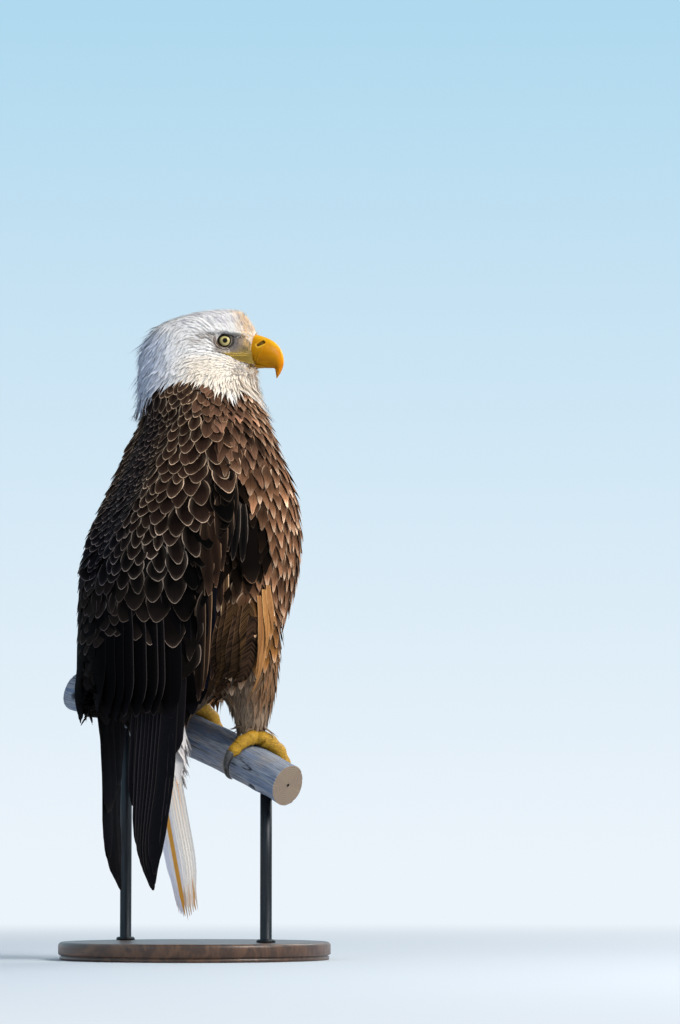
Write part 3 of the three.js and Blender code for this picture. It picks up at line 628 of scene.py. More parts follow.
def face_sheet(sign):
    """Points, faces and colours of one side of the face. It dives under the skin where feathers grow."""
    out, known = outer_reach(sign)
    a, u = face_a, face_u
    off = np.hypot(a, u)
    over_gape, over_mouth = u - line_at(GAPE_TOP, a), u - line_at(MOUTH, a)
    lids, lores, gape = face_masks(a, u)
    _, under = brow_relief(a, u)
    mouth = np.exp(-(over_mouth / 0.6) ** 2) * ease(-9, -6, a)
    places = head_point(a, sign * 20, u)
    creases = wander(places, 0.006, 11) * 0.2 + wander(places * (1, 1, 2.2), 0.0024, 12) * 0.1
    deep = -over_gape / np.maximum(ease(-16, 10, a), 0.05) + 0.25 * np.sin(a * 0.5)
    folds = sum(np.exp(-((deep - at) / 0.62) ** 2) for at in (0.9, 3.0, 5.3)) * ease(36, 24, a)
    folds = folds + np.exp(-((over_mouth - 1.3) / 0.7) ** 2) * 0.8
    bags = np.exp(-((off - 11.6) / 1.1) ** 2) * ease(4, -4, u) * 0.9
    out = out + gape * (0.1 + 0.9 * folds) - mouth * 1.6 + bags - 0.5 * under
    out = out + creases * (lores * 1.6 + lids + gape)
    ring = EYE_OUT + np.sqrt(np.maximum(EYE_BALL ** 2 - off ** 2, 0)) - 1.4
    socket = ease(12.5, 9.0, off)
    out = out * (1 - socket) + np.minimum(out, ring) * socket
    edge = np.maximum(np.abs(a - 6) / 31, np.abs(u + 8) / 27)
    bare_share = np.clip(lids + lores + gape + mouth + bags, 0, 1)
    out = out - 0.25 - 2.2 * (1 - bare_share) - 1.6 * ease(0.86, 1.0, edge)
    points = head_point(a, sign * out, face_down)
    faces = grid(*a.shape)
    kept = known.ravel() & (edge.ravel() < 1.01)
    faces = faces[kept[faces].all(1)]

    # Painted shade: grey in a ring round the lower half of the eye.
    around = ease(17, 12.5, off) * ease(9, 2, u) * 0.8
    streaks = np.clip(wander(places * (1, 1, 0.3), 0.003, 13) - 0.4, 0, 1)
    gold = np.clip(wander(places * (1, 1, 0.25), 0.0022, 15) + 0.1, 0, 1)
    gold = gold * ease(17, 26, a) * ease(-16, -10, u)
    creased = 0.5 + 0.5 * np.sin(deep * 5.2 + 2.2 * wander(places, 0.007, 14))
    # Olive and yellow of the gape, with lighter gold along its raised folds as a painted highlight.
    golden = np.clip(ease(0.15, 0.9, folds) * 0.7 + ease(24, 38, a) * 0.2 + 0.3 * creased - 0.1, 0, 1)
    band = dyed(dyed(tint(104, 86, 38), golden, tint(196, 166, 82)), ease(6, -4, a) * 0.6, tint(128, 114, 92))
    soft_edge = ease(-0.5, 3.2, 0.8 * wander(places, 0.003, 16) - over_gape)
    gape_line = np.exp(-((over_gape + 0.3) / 0.5) ** 2) * ease(24, 8, a) * ease(-9, -5, a)
    # Painted shadow under the bill, below the mouth line.
    below = ease(-4.5, -1.5, over_mouth) * (over_mouth < 0.3) * ease(6, 14, a)
    colour = tint(232, 224, 214) + 0 * a[..., None]
    for share, dye in (
        # Grey: the bare lores, and painted shade on the bags under the eye and in the ring round it.
        (np.clip(lores + bags + around, 0, 1), tint(122, 112, 106)),
        (lores * ease(-1, -12, u) * ease(6, 26, a) * 0.85, tint(124, 106, 60)),
        (lores * ease(12, 26, a) * ease(-8, 0, u) * 0.6, tint(176, 152, 122)),
        (lores * streaks * 0.5, tint(78, 70, 64)),
        # Painted shadow under the ridge of the brow.
        (np.clip(under * 1.3 * ease(2, 8, a) + under * 0.5, 0, 0.9), tint(44, 37, 36)),
        (lores * np.exp(-((a - 12) / 4.5) ** 2) * ease(-14, -8, u) * 0.5, tint(84, 84, 92)),
        (lores * gold * 0.8, tint(206, 168, 104)),
        # Painted shade: a darker band on the ledge over the gape, under the eye.
        (ease(-7, -10, u) * ease(-16, -14, u) * ease(8, 2, a) * 0.8, tint(84, 72, 62)),
        (gape * (0.35 + 0.65 * soft_edge), band),
        (gape_line * 0.35, tint(92, 76, 44)),
        (below * 0.9, tint(74, 52, 50)),
        (np.clip(mouth * 1.2, 0, 1), tint(40, 28, 24)),
        (ease(9.6, 8.4, off), tint(40, 35, 32)),
    ):
        colour = dyed(colour, share, dye)
    return points.reshape(-1, 3), faces[:, ::sign], colour.reshape(-1, 3)


def lid_ring(sign):
    """The bare rim of the lids: a rolled edge on the ball of the eye, running out under the feathers."""
    rolled_in, lid_wide = 0.5, 4.3
    turn = np.linspace(0, 2 * math.pi, 96, endpoint=False)
    upper = np.clip(np.sin(turn), 0, 1)
    open_at = LID - 1.25 * upper ** 2.5 + 0.25 * np.abs(np.cos(turn)) ** 6
    rows, colours = [], []
    for share in np.linspace(0, 1, 16):
        off = open_at - rolled_in + share * lid_wide
        ball = EYE_OUT + np.sqrt(np.maximum(EYE_BALL ** 2 - off ** 2, 0))
        past = share * 2.3  # over 1 beyond the rolled edge
        swell = 1.25 * math.sin(past * math.pi) ** 0.8 if past < 1 else 0.35 * math.sin((past - 1) * 7)
        out = ball - 0.35 + swell + 0.54 * ease(0.45, 1.0, share)
        rows.append(head_point(off * np.cos(turn), sign * out, off * np.sin(turn) - EYES_LOW))
        # Dark at the rolled edge, grey further out; over the top the dark reaches further, a painted shadow
        # of the brow.
        colours.append(dyed(tint(24, 20, 18), ease(0.2, 0.5, share - 0.3 * upper), tint(128, 119, 108)))
    faces = grid(len(rows), len(turn), wrap=True)
    return np.concatenate(rows), faces[:, ::-sign], np.concatenate(colours)


# The legs: round toes and a short shank, plated along the top and rough beneath. Millimetres.
TOES = {  # along the perch from and to, round it from and to, and half as thick as the claw is
    "inner": (6, 25, 0.1, 1.5, 5.6), "middle": (0, 0, 0.15, 1.85, 5.0),
    "outer": (-6, -26, 0.1, 1.45, 4.6), "hind": (1, 5, -0.1, -1.25, 5.8),
}
TOE_ROOT, TOE_END = 9, 6.6  # half as thick as the toe
FOOT_APART = 56  # of each foot's middle, from the middle of the perch's hold
SOLE = (0.015, 0.013, 0.0086)  # half the foot's width, length and height, in metres
SHANK = ((0, 8.4), (0.4, 8.2), (0.75, 8.6), (1, 10.5))


def hooked(left, angle, thick, over, share, sides, relief=None):
    """Rings along an arc over the perch, for a toe or claw. relief adds to the reach at each ring's side."""
    place = lambda t: round_perch(left(t) / 1000, angle(t), over(t) / 1000)
    heading = unit(place(share + 0.01) - place(share - 0.01))
    out = unit(np.cross(perch_along, heading))
    side = np.cross(heading, out)
    turn = np.linspace(0, 2 * math.pi, sides, endpoint=False)
    reach = thick(share)[:, None] + (relief(share, turn) if relief else 0)
    around = side[:, None] * np.cos(turn)[None, :, None] + out[:, None] * np.sin(turn)[None, :, None]
    return place(share)[:, None] + around * reach[..., None] / 1000


def closed(rings):
    """Points and faces of a stack of rings closed at both ends."""
    count, sides = rings.shape[:2]
    ends = [rings[0].mean(0), rings[-1].mean(0)]
    fan = np.arange(sides)
    first = count * sides
    caps = np.concatenate((
        np.stack((np.roll(fan, -1), fan, np.full(sides, first)), 1),
        np.stack((fan + first - sides, np.roll(fan, -1) + first - sides, np.full(sides, first + 1)), 1),
    ))
    return np.concatenate((rings.reshape(-1, 3), ends)), grid(count, sides, wrap=True), caps


def toe_relief(plates):
    """Overlapping plates along a toe's top, and pads under it."""
    def relief(share, turn):
        top = np.clip(np.sin(turn), 0, 1)[None, :] ** 0.6
        step = (share * plates)[:, None] % 1.0
        pads = 0.8 * np.sin(share * math.pi * 3)[:, None] ** 2 * np.clip(-np.sin(turn), 0, 1)[None, :]
        return top * (0.75 * step ** 0.7 - 0.4) + pads

    return relief


def toe_thick(t):
    """Half as thick as a toe is, from its root at 0 to the root of its claw at 1, swollen at its joints."""
    tapered = (TOE_ROOT + (TOE_END - TOE_ROOT) * t) * (1 - 0.35 * ease(0.93, 1.0, t))
    return tapered + 0.5 * np.sin(t * 9.4) ** 2


leg_parts, claw_rings = [], {}
for side, sign in SIDES:
    heart = -sign * FOOT_APART
    for name, (start, stop, begin, end, claw) in TOES.items():
        plates = 8 if name == "hind" else 11
        leg_parts.append(closed(hooked(
            lambda t: heart + sign * (start + (stop - start) * t),
            lambda t: begin + (end - begin) * t,
            toe_thick, lambda t: toe_thick(t) + 1.0, np.linspace(0, 1, 96), 40, toe_relief(plates),
        )))
        turn = math.copysign(1.05 * claw / 5, end)
        claw_rings[f"{name}_{side}"] = hooked(
            lambda t: heart + sign * (stop + (stop - start) * 0.25 * t),
            lambda t: end + turn * t,
            lambda t: (claw - 0.3) * np.maximum(1 - t, 0) ** 0.8 + 0.3,
            lambda t: 8.2 + 5.5 * np.sin(math.pi * (0.15 + 0.7 * t)) - 7.6 * t,
            np.linspace(-0.04, 1, 48), 28,
        )
    wide, long, high = np.diag(SOLE)
    lift = np.linspace(-0.98, 0.98, 20)[:, None, None]
    turn = np.linspace(0, 2 * math.pi, 40, endpoint=False)[None, :, None]
    round_sole = np.sqrt(1 - lift ** 2) * (np.cos(turn) * wide + np.sin(turn) * long)
    leg_parts.append(closed(round_perch(heart / 1000, 0.12, 0.0098) + round_sole + lift * high))
    ankle = MIDDLE + np.array((heart, -17, 47 + PERCH["rise"] * heart)) / 1000
    sole = round_perch(heart / 1000, 0.02, 0.0095)
    share = np.linspace(0, 1, 60)[:, None, None]
    plated = 1 + 0.07 * ((share * 9 % 1.0) * np.clip(-np.sin(turn), 0, 1) ** 0.5)
    round_shank = np.cos(turn) * np.array((0.9, 0, 0)) + np.sin(turn) * np.array((0, 1.15, 0))
    thick = line_at(SHANK, share) / 1000 * plated
    leg_parts.append(closed(ankle + (sole - ankle) * share + thick * round_shank))

bare = Finish("bare_skin", {"Roughness": 0.75, "Specular IOR Level": 0.08})
mottle = bare.noise(bare.place(), 420, 5)
skin_tint = bare.read("tint", "Color")
shaded = bare.vector("MULTIPLY", bare.read("tint", "Color"), (0.55, 0.5, 0.46))
bare.give({"Base Color": bare.mix(mottle.step(0.4, 0.8) * 0.5, skin_tint, shaded)})
bare.bump(mottle, 0.0003)
scaled = Finish("scaled_legs", {"Roughness": 0.45, "Specular IOR Level": 0.45})
grit = scaled.noise(scaled.place(), 260, 5)
cell_places = {"Vector": scaled.place(), "Scale": 520.0}
cells = scaled.node("ShaderNodeTexVoronoi", {"feature": "DISTANCE_TO_EDGE"}, cell_places)
yellow = scaled.mix(grit.step(0.35, 0.75), tint(222, 170, 30), tint(188, 136, 30))
scaled.give({"Base Color": scaled.mix((1 - cells.step(0.02, 0.14)) * 0.6, yellow, tint(122, 88, 34))})
scaled.bump(cells.step(0.0, 0.2) + grit * 0.5, 0.0004)

# Near black under the brown coat: painted shade between the feathers.
shaded_down = tint(20, 15, 13)
white_share = whiteness(hull, 14)
a, _, u = on_head(hull)
gape_corner = ease(25, 31, a) * ease(-12, -17, u) * ease(-40, -35, u)
# Painted shade on the skin below the eye.
under_eye = ease(19, 14, np.hypot(a, u)) * ease(2, -5, u) * ease(-20, -15, u)
under_down = dyed(shaded_down, white_share, tint(238, 234, 230))
under_down = dyed(dyed(under_down, gape_corner, tint(112, 88, 42)), under_eye, tint(104, 88, 74))
bare_parts = [(hull, hull_faces, under_down)]
for _, sign in SIDES:
    bare_parts += [face_sheet(sign), lid_ring(sign)]
bare_points, bare_faces = joined([part[:2] for part in bare_parts])
leg_points, leg_quads, leg_caps = joined(leg_parts)
colours = [*[part[2] for part in bare_parts], np.broadcast_to(tint(214, 160, 30), leg_points.shape)]
colours = with_share(np.concatenate(colours))
first = len(bare_points)
skin = shaped(
    "skin", np.concatenate((bare_points, leg_points)), [bare_faces, leg_quads + first, leg_caps + first],
    [bare, scaled], kept={"tint": colours},
    which=np.repeat((0, 1), (len(bare_faces), len(leg_quads) + len(leg_caps))),
)
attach(skin, "root")
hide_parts(*FLESH, "foot_left", "foot_right", "shank_left", "shank_right")

# ------------------------------------------------------------------ claws
# Eight black claws of polished horn, round in section and drawn out to a point, greyer at the root.
# Each grows out of the end of its toe and bends on round the perch, its point close to the wood.
horn = Finish("black_horn", {"Roughness": 0.28, "Coat Weight": 0.4, "Coat Roughness": 0.15})
streaks = horn.noise(horn.place(), 330, 5)
greyer = streaks.step(0.3, 0.8) * 0.5 + (1 - horn.read("along").step(0.0, 0.35)) * 0.5
horn.give({"Base Color": horn.mix(greyer, tint(16, 15, 16), tint(84, 80, 76))})
horn.bump(streaks, 0.0001)
for name, rings in claw_rings.items():
    points, quads, caps = closed(rings)
    share = np.append(np.repeat(np.linspace(0, 1, len(rings)), rings.shape[1]), (0, 1))
    claw = shaped(f"claw_{name}_horn", points, [quads, caps], [horn], kept={"along": share})
    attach(claw, "root")
    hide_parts(f"claw_{name}")

# ------------------------------------------------------------------ bill
# The upper half hooks down over the lower. Behind the slit of the nostril it is cased in the soft
# waxy cere, and forward of it in smooth horn, deepest orange at the hook. A painted highlight runs along
# the ridge, and painted shade darkens its lower sides, the nostril, and the lower half under it.
UPPER_BILL = (  # the ridge, the cutting edge under it, and the half width, in on_head's measures
    (34.7, 9.0, 31.5, -30.5, 14.1), (40.4, 8.4, 37.8, -31.5, 14.3), (47.6, 6.3, 44.6, -32.8, 13.5),
    (55.2, 3.4, 51.5, -33.4, 12.6), (62.6, -1.1, 57.2, -33.8, 11.3), (69.0, -7.9, 60.9, -34.0, 9.7),
    (72.9, -16.3, 62.5, -34.7, 8.0), (74.1, -24.9, 63.2, -36.1, 6.4), (73.1, -32.3, 63.6, -38.6, 4.9),
    (70.5, -39.1, 64.1, -41.6, 3.5), (67.5, -43.9, 64.5, -44.3, 2.0), (65.5, -46.8, 64.7, -46.6, 0.7),
)
LOWER_BILL = (
    (23, -27.0, 21, -33.0, 8.2), (33.6, -28.6, 32.6, -34.6, 7.8), (43.0, -30.4, 43.0, -34.2, 6.6),
    (50.5, -31.4, 50.5, -33.8, 5.0), (55.5, -32.4, 55.4, -33.6, 2.5),
)
NOSTRIL = np.array(((41.4, -6.6), (48.2, -2.4)))
CERE = 50.5  # how far forward it ends on the ridge
RIDGE = ((34, 9), (55, 3), (69, -8), (74, -25))


def through(stations, places):
    """Smooth numbers through evenly counted stations, at places from 0 to the last station."""
    table = np.array(stations, float)
    padded = np.concatenate((2 * table[:1] - table[1:2], table, 2 * table[-1:] - table[-2:-1]))
    low = np.clip(np.floor(places).astype(int), 0, len(table) - 2)
    t = (places - low)[:, None]
    a, b, c, d = (padded[low + k] for k in range(4))
    return b + 0.5 * t * (c - a + t * (2 * a - 5 * b + 4 * c - d + t * (3 * (b - c) + d - a)))


def bill_half(sections, count, sides, square):
    """Rings of one half of the bill: each point's place ahead, to the right and up."""
    high_a, high_u, low_a, low_u, half = through(sections, np.linspace(0, len(sections) - 1, count)).T
    turn = np.linspace(0, 2 * math.pi, sides, endpoint=False)
    bent = lambda v: np.sign(v) * np.abs(v) ** (2 / square)
    rise, wide = bent(np.cos(turn)), bent(np.sin(turn))
    a = (high_a + low_a)[:, None] / 2 + (high_a - low_a)[:, None] / 2 * rise
    u = (high_u + low_u)[:, None] / 2 + (high_u - low_u)[:, None] / 2 * rise
    return a, half[:, None] * wide, u


def bill_horn(name, a, r, u, base, dyes):
    """One half of the bill, its dyes laid one over another."""
    colour = base + 0 * a[..., None]
    for share, dye in dyes:
        colour = dyed(colour, share, dye)
    points, quads, caps = closed(head_point(a, r, u))
    colour = np.concatenate((colour.reshape(-1, 3), colour[0, :1], colour[-1, :1]))
    piece = shaped(name, points, [quads, caps], [keratin], kept={"tint": with_share(colour)})
    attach(piece, "root")
    return piece


keratin = Finish("bill_horn", {
    "Roughness": 0.42, "Coat Weight": 0.03, "Coat Roughness": 0.2, "Specular IOR Level": 0.08,
})
fine = keratin.noise(keratin.place(), 190, 5)
cloud = keratin.noise(keratin.place(), 40, 3)
golden = keratin.mix(0.3, keratin.read("tint", "Color"), tint(236, 176, 16))
pale = keratin.mix(cloud.step(0.35, 0.7) * 0.6, keratin.read("tint", "Color"), golden)
pale = keratin.mix(fine.step(0.55, 0.8) * 0.25, pale, tint(176, 116, 16))
keratin.give({"Base Color": pale, "Roughness": 0.3 + fine * 0.22})
keratin.bump(fine + cloud, 0.0002)

a, r, u = bill_half(UPPER_BILL, 190, 128, 1.75)
(start_a, start_u), slit = NOSTRIL[0], NOSTRIL[1] - NOSTRIL[0]
part = np.clip(((a - start_a) * slit[0] + (u - start_u) * slit[1]) / (slit @ slit), 0, 1)
off = np.hypot(a - start_a - part * slit[0], u - start_u - part * slit[1])
side_on = ease(4, 7, np.abs(r))
nostril = ease(1.7 + 1.1 * part, 0.8 + 0.9 * part, off) * side_on
lip = np.exp(-((off - 2.8) / 0.8) ** 2) * side_on
cere_end = CERE - 0.34 * (5 - u) * ease(8, -30, u) - 0.4 * np.sin(u * 0.5)
cere = ease(0.8, -0.8, a - cere_end) * ease(-36, -30, u)
groove = np.exp(-((a - cere_end - 0.4) / 0.7) ** 2) * ease(-33, -24, u)
grow = 0.45 * cere - 0.35 * groove + 0.45 * lip - 2.9 * nostril
grow = grow + 0.25 * np.sin((a - u * 0.25) * 1.5) * cere * ease(-16, -24, u)
r = r + np.sign(r) * grow * ease(0, 3, np.abs(r))
u = u - 0.5 * np.exp(-((a - 52) / 5) ** 2) * ease(-28, -34, u)  # the cutting edge dips under the cere
upper = bill_horn("bill_upper_horn", a, r, u, tint(182, 118, 2), (
    (cere, tint(172, 118, 2)),
    (ease(60, 73, a + 0.15 * np.abs(u + 20)) * 0.85, tint(206, 118, 1)),
    # Painted highlight along the ridge.
    (ease(-2, 6, u - line_at(RIDGE, a) + 6) * 0.7, tint(234, 176, 14)),
    # Painted shade over the lower sides, deepest towards the cutting edge.
    (ease(-8, -33, u) * ease(72, 62, a) * 0.75, tint(140, 94, 2)),
    (ease(-20, -31, u) * ease(50, 34, a) * 0.75, tint(116, 86, 8)),
    # Painted shade inside the nostril, and lightly in the groove at the cere's edge.
    (np.clip(nostril * 1.4, 0, 1), tint(20, 12, 6)),
    (groove * 0.12, tint(150, 98, 10)),
    (np.clip(lip * ease(0, -2, u + 4), 0, 1) * 0.6, tint(238, 196, 70)),
))
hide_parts("bill_upper")
a, r, u = bill_half(LOWER_BILL, 80, 72, 2.1)
# Painted shade: the lower half is darker, as in the shadow of the upper.
lower = bill_horn("bill_lower_horn", a, r, u, tint(120, 82, 14), [(ease(50, 24, a), tint(96, 72, 26))])
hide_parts("bill_lower")

# ------------------------------------------------------------------ eyes
# Pale yellow eyes with a small round pupil and a dark rim, wet and clear in front, deep under the brow.
# Each is a ball that swells a little over the iris and sits behind the lids of the skin.
IRIS, PUPIL = 7.2, 2.9
BALL_END, HIDDEN = 1.5, 12  # beyond this angle from its middle the ball is hidden, and counts as far off
gaze = Finish("wet_eye", {
    "Roughness": 0.3, "Specular IOR Level": 0.1, "Coat Weight": 0.35, "Coat Roughness": 0.03, "Coat IOR": 1.4,
})
off = gaze.read("off")
round_iris = gaze.node("ShaderNodeCombineXYZ", {}, {0: gaze.read("spoke") * 9.0, 1: off * 0.25})
threads = gaze.noise(round_iris, 1.4, 5, 0.7)
iris = gaze.mix(threads.step(0.3, 0.75), tint(216, 202, 140), tint(170, 154, 92))
iris = gaze.mix(off.step(IRIS - 2.4, IRIS - 0.2) * 0.85, iris, tint(98, 88, 50))
iris = gaze.mix(1 - off.step(PUPIL + 0.1, PUPIL + 1.1), iris, tint(150, 128, 66))
iris = gaze.mix(1 - off.step(PUPIL - 0.15, PUPIL + 0.15), iris, tint(6, 5, 5))
gaze.give({"Base Color": gaze.mix(off.step(IRIS - 0.35, IRIS + 0.15), iris, tint(14, 12, 11))})
for side, sign in SIDES:
    axis = unit(head_right * sign + head_ahead * 0.07)
    top = unit(UP - axis * (UP @ axis))
    fore = np.cross(axis, top)
    angle = np.linspace(0.0, 2.2, 70)
    turn = np.linspace(0, 2 * math.pi, 80, endpoint=False)
    off = EYE_BALL * np.sin(angle)
    bulge = 0.45 * ease(IRIS + 0.6, 0, off) * (angle < BALL_END)
    out = EYE_BALL * np.cos(angle) - 0.15 + bulge
    around = np.cos(turn)[:, None] * fore + np.sin(turn)[:, None] * top
    rings = out[:, None, None] * axis + np.maximum(off, 0.01)[:, None, None] * around
    rings = eye_middles[side] + rings / 1000
    shape_faces = grid(len(angle), len(turn), wrap=True)
    reach = np.repeat(np.where(angle < BALL_END, off, HIDDEN), len(turn))
    eye = shaped(
        f"eye_{side}_ball", rings.reshape(-1, 3), [shape_faces], [gaze],
        kept={"off": reach, "spoke": np.tile(np.abs(turn - math.pi), len(angle))},
    )
    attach(eye, "root")
    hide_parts(f"eye_{side}")

# ------------------------------------------------------------------ feathers of the back and wings
# Overlapping contour feathers in uneven rows, each rooted in the skin and lying back over the next.
# Each is a shaft with a broad vane, dark brown, with a worn pale rim: small over the back, broad over
# the wing. Every tract is one mesh.
skin_tree = BVHTree.FromPolygons(hull.tolist(), hull_faces.tolist())
PATCH = 0.003  # across, of one feather's place on the skin's chart


def skin_chart(step=0.009):
    """A coarse copy of the skin laid out flat: its faces, and where each of their corners lies."""
    points, faces = remeshed(*together(FLESH), step)
    chart = shaped("chart", points, [faces], [])
    bpy.context.view_layer.objects.active = chart
    chart.select_set(True)
    bpy.ops.object.mode_set(mode="EDIT")
    bpy.ops.mesh.select_all(action="SELECT")
    bpy.ops.uv.smart_project(angle_limit=math.radians(60), island_margin=0.004)
    bpy.ops.object.mode_set(mode="OBJECT")
    places = np.zeros(len(chart.data.loops) * 2, np.float32)
    chart.data.uv_layers.active.data.foreach_get("uv", places)
    bpy.data.objects.remove(chart)
    places = places.reshape(len(faces), -1, 2)
    tree = BVHTree.FromPolygons(points.tolist(), faces.tolist())

    def find(roots):
        found = np.zeros((len(roots), 2))
        for i, root in enumerate(roots.tolist()):
            _, _, face, _ = tree.find_nearest(root)
            corners = points[faces[face]]
            near = 1 / (np.linalg.norm(corners - root, axis=1) + 1e-4) ** 2
            found[i] = near @ places[face] / near.sum()
        return found

    return find


on_chart = skin_chart()


def lie(points):
    """The way the coat lies at each point: back from the bill, and down the neck and body."""
    a, r, u = on_head(points)
    backward = (ease(-84, -8, a) * ease(-70, -20, u))[:, None]
    down = np.array((0, 0.1, -1)) - head_ahead * 0.25 * ease(400, 440, level(points))[:, None]
    brow_up = np.interp(u, (-24, -6, 8, 28, 42), (0, 0.5, 1.05, 1.05, 0.2)) * ease(-74, -46, a)
    crest = -head_ahead + UP * (brow_up - 0.22 * ease(0, 30, np.abs(r)) * ease(14, -4, a))[:, None]
    return crest * backward + down * (1 - backward)


def measured(measure, points):
    """A measure at each point, whether it is one number or varies over the skin."""
    return measure(points) if callable(measure) else np.full(len(points), float(measure))


def scattered(inside, spacing, first, seed, tall=1.0):
    """Roots spread over the part of the skin where inside is over a half, no nearer than spacing (mm).
    first says which go first, so that the rest fall in uneven rows. tall spreads them along the body."""
    tries = 14  # for each root that may find room
    dice = np.random.default_rng(seed)
    corners = hull[hull_faces]
    centre = corners.mean(1)
    area = np.linalg.norm(np.cross(corners[:, 2] - corners[:, 0], corners[:, 3] - corners[:, 1]), axis=1) / 2
    weight = area * (inside(centre) > 0.5) / (measured(spacing, centre) / 1000) ** 2
    count = int(weight.sum() * tries)
    face = dice.choice(len(area), count, p=weight / weight.sum())
    u, v = dice.random((2, count, 1))
    quad, ways = corners[face], hull_out[hull_faces[face]]
    spread = ((1 - u) * (1 - v), u * (1 - v), u * v, (1 - u) * v)
    places = sum(quad[:, i] * share for i, share in enumerate(spread))
    outs = unit(sum(ways[:, i] * share for i, share in enumerate(spread)))
    gap = measured(spacing, places) / 1000
    squeezed = (places * (1, 1, 1 / tall)).tolist()
    tree = kdtree.KDTree(count)
    for i, place in enumerate(squeezed):
        tree.insert(place, i)
    tree.balance()
    gone, taken = np.zeros(count, bool), []
    for i in np.argsort(-first(places) + dice.normal(0, 0.3, count) * gap * 1000):
        if not gone[i]:
            taken.append(i)
            gone[[j for _, j, _ in tree.find_range(squeezed[i], gap[i])]] = True
    return places[taken], outs[taken], gap[taken] * 1000


def combed(roots, outs, lengths, swerve, way, steps=6):
    """The line each shaft takes over the skin, and the way out along it."""
    line, ways = [roots], [outs]
    stride = (lengths / steps)[:, None]
    for _ in range(steps):
        heading = unit(way(line[-1])) + swerve
        heading = unit(heading - (heading * ways[-1]).sum(1, keepdims=True) * ways[-1])
        straight = line[-1] + heading * stride
        near = [skin_tree.find_nearest(place) for place in straight.tolist()]
        on_skin, skin_way = (np.array([hit[k] for hit in near]) for k in (0, 1))
        moved = ((on_skin - line[-1]) * heading).sum(1, keepdims=True) / stride
        off = np.linalg.norm(on_skin - straight, axis=1, keepdims=True) / stride
        # A shaft doesn't turn in under the body where the skin does. It runs straight on.
        turned_under = ((skin_way - ways[-1]) * heading).sum(1, keepdims=True)
        hold = np.clip(moved * 3 - 1.4, 0, 1) * np.clip(2.2 - off * 2, 0, 1) * ease(0.34, 0.1, turned_under)
        line.append(straight + (on_skin - straight) * hold)
        ways.append(unit(ways[-1] + (skin_way - ways[-1]) * 0.45 * hold))
    return np.stack(line, 1), np.stack(ways, 1)


def vanes(name, line, ways, length, width, shape, finish, looks, rise, roll, seed):
    """One mesh of feathers. line and ways are each shaft's points and ways out. shape holds the rows and
    columns of points, the profile of half widths, and how far the vane's corners drop, fray, curl and cup.
    looks holds the vanes' tints, the rims', the rim's share of the tip and of the edge, and a tone."""
    dice = np.random.default_rng(seed)
    count, steps = len(line), line.shape[1] - 1
    columns, rows = shape["columns"], shape["rows"]
    across = np.sin(np.linspace(-1, 1, columns + 1) * math.pi / 2)
    along = np.linspace(0, 1, rows + 1) ** shape.get("crowd", 0.85)
    profile = np.interp(along, *zip(*shape["profile"]))
    end = 1 - shape["drop"] * np.abs(across) ** shape.get("power", 2.2)
    end = end * (1 - shape.get("fray", 0.0) * dice.random((count, columns + 1)))
    share = along[None, :, None] * end[:, None, :]
    place = share * steps
    low = np.minimum(place.astype(int), steps - 1)
    part = (place - low)[..., None]
    which = np.arange(count)[:, None, None]
    heading = unit(np.diff(line, axis=1, append=line[:, -1:] * 2 - line[:, -2:-1]))
    sides = unit(np.cross(heading, ways))
    blend = lambda values: values[which, low] * (1 - part) + values[which, low + 1] * part
    at, out, side = blend(line), blend(ways), blend(sides)
    half = (width[:, None] / 2 * profile)[:, :, None] * np.ones(columns + 1)
    span = half * across
    height = rise[:, None, None] * share ** shape.get("lift", 1.2) + shape.get("base", 0.0003)
    height = height - shape["cup"] * half * across ** 2 + span * np.sin(roll)[:, None, None]
    curl = shape.get("curl", 0.0) * length[:, None, None] * np.maximum(share - 0.6, 0) ** 2
    points = at + side * span[..., None] + out * (height - curl)[..., None]
    reach = share * length[:, None, None]
    rim = np.minimum((1 - np.abs(across)) * half, (end[:, None, :] - share) * length[:, None, None])
    vane = np.stack(np.broadcast_arrays(span, reach, rim), -1) * 1000
    size = (rows + 1) * (columns + 1)
    faces = grid(rows + 1, columns + 1)[None] + np.arange(count)[:, None, None] * size
    patch = np.stack(np.broadcast_arrays(across / 2, along[:, None] - 0.5), -1)
    places = on_chart(line[:, 0])[:, None, None] + PATCH * patch
    vane_tint, rim_tint, tip, trim, tone = looks
    kept = {
        "vane": vane.reshape(-1, 3),
        "tint": np.repeat(with_share(vane_tint), size, axis=0),
        "trim": np.repeat(with_share(rim_tint, tip), size, axis=0),
        "mark": np.repeat(np.stack(np.broadcast_arrays(tone, trim, length * 1000), 1), size, axis=0),
    }
    maps = {"OFBake": places.reshape(-1, 2)}
    piece = shaped(name, points.reshape(-1, 3), [faces.reshape(-1, 4)], [finish], kept, maps)
    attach(piece, "root")
    return piece


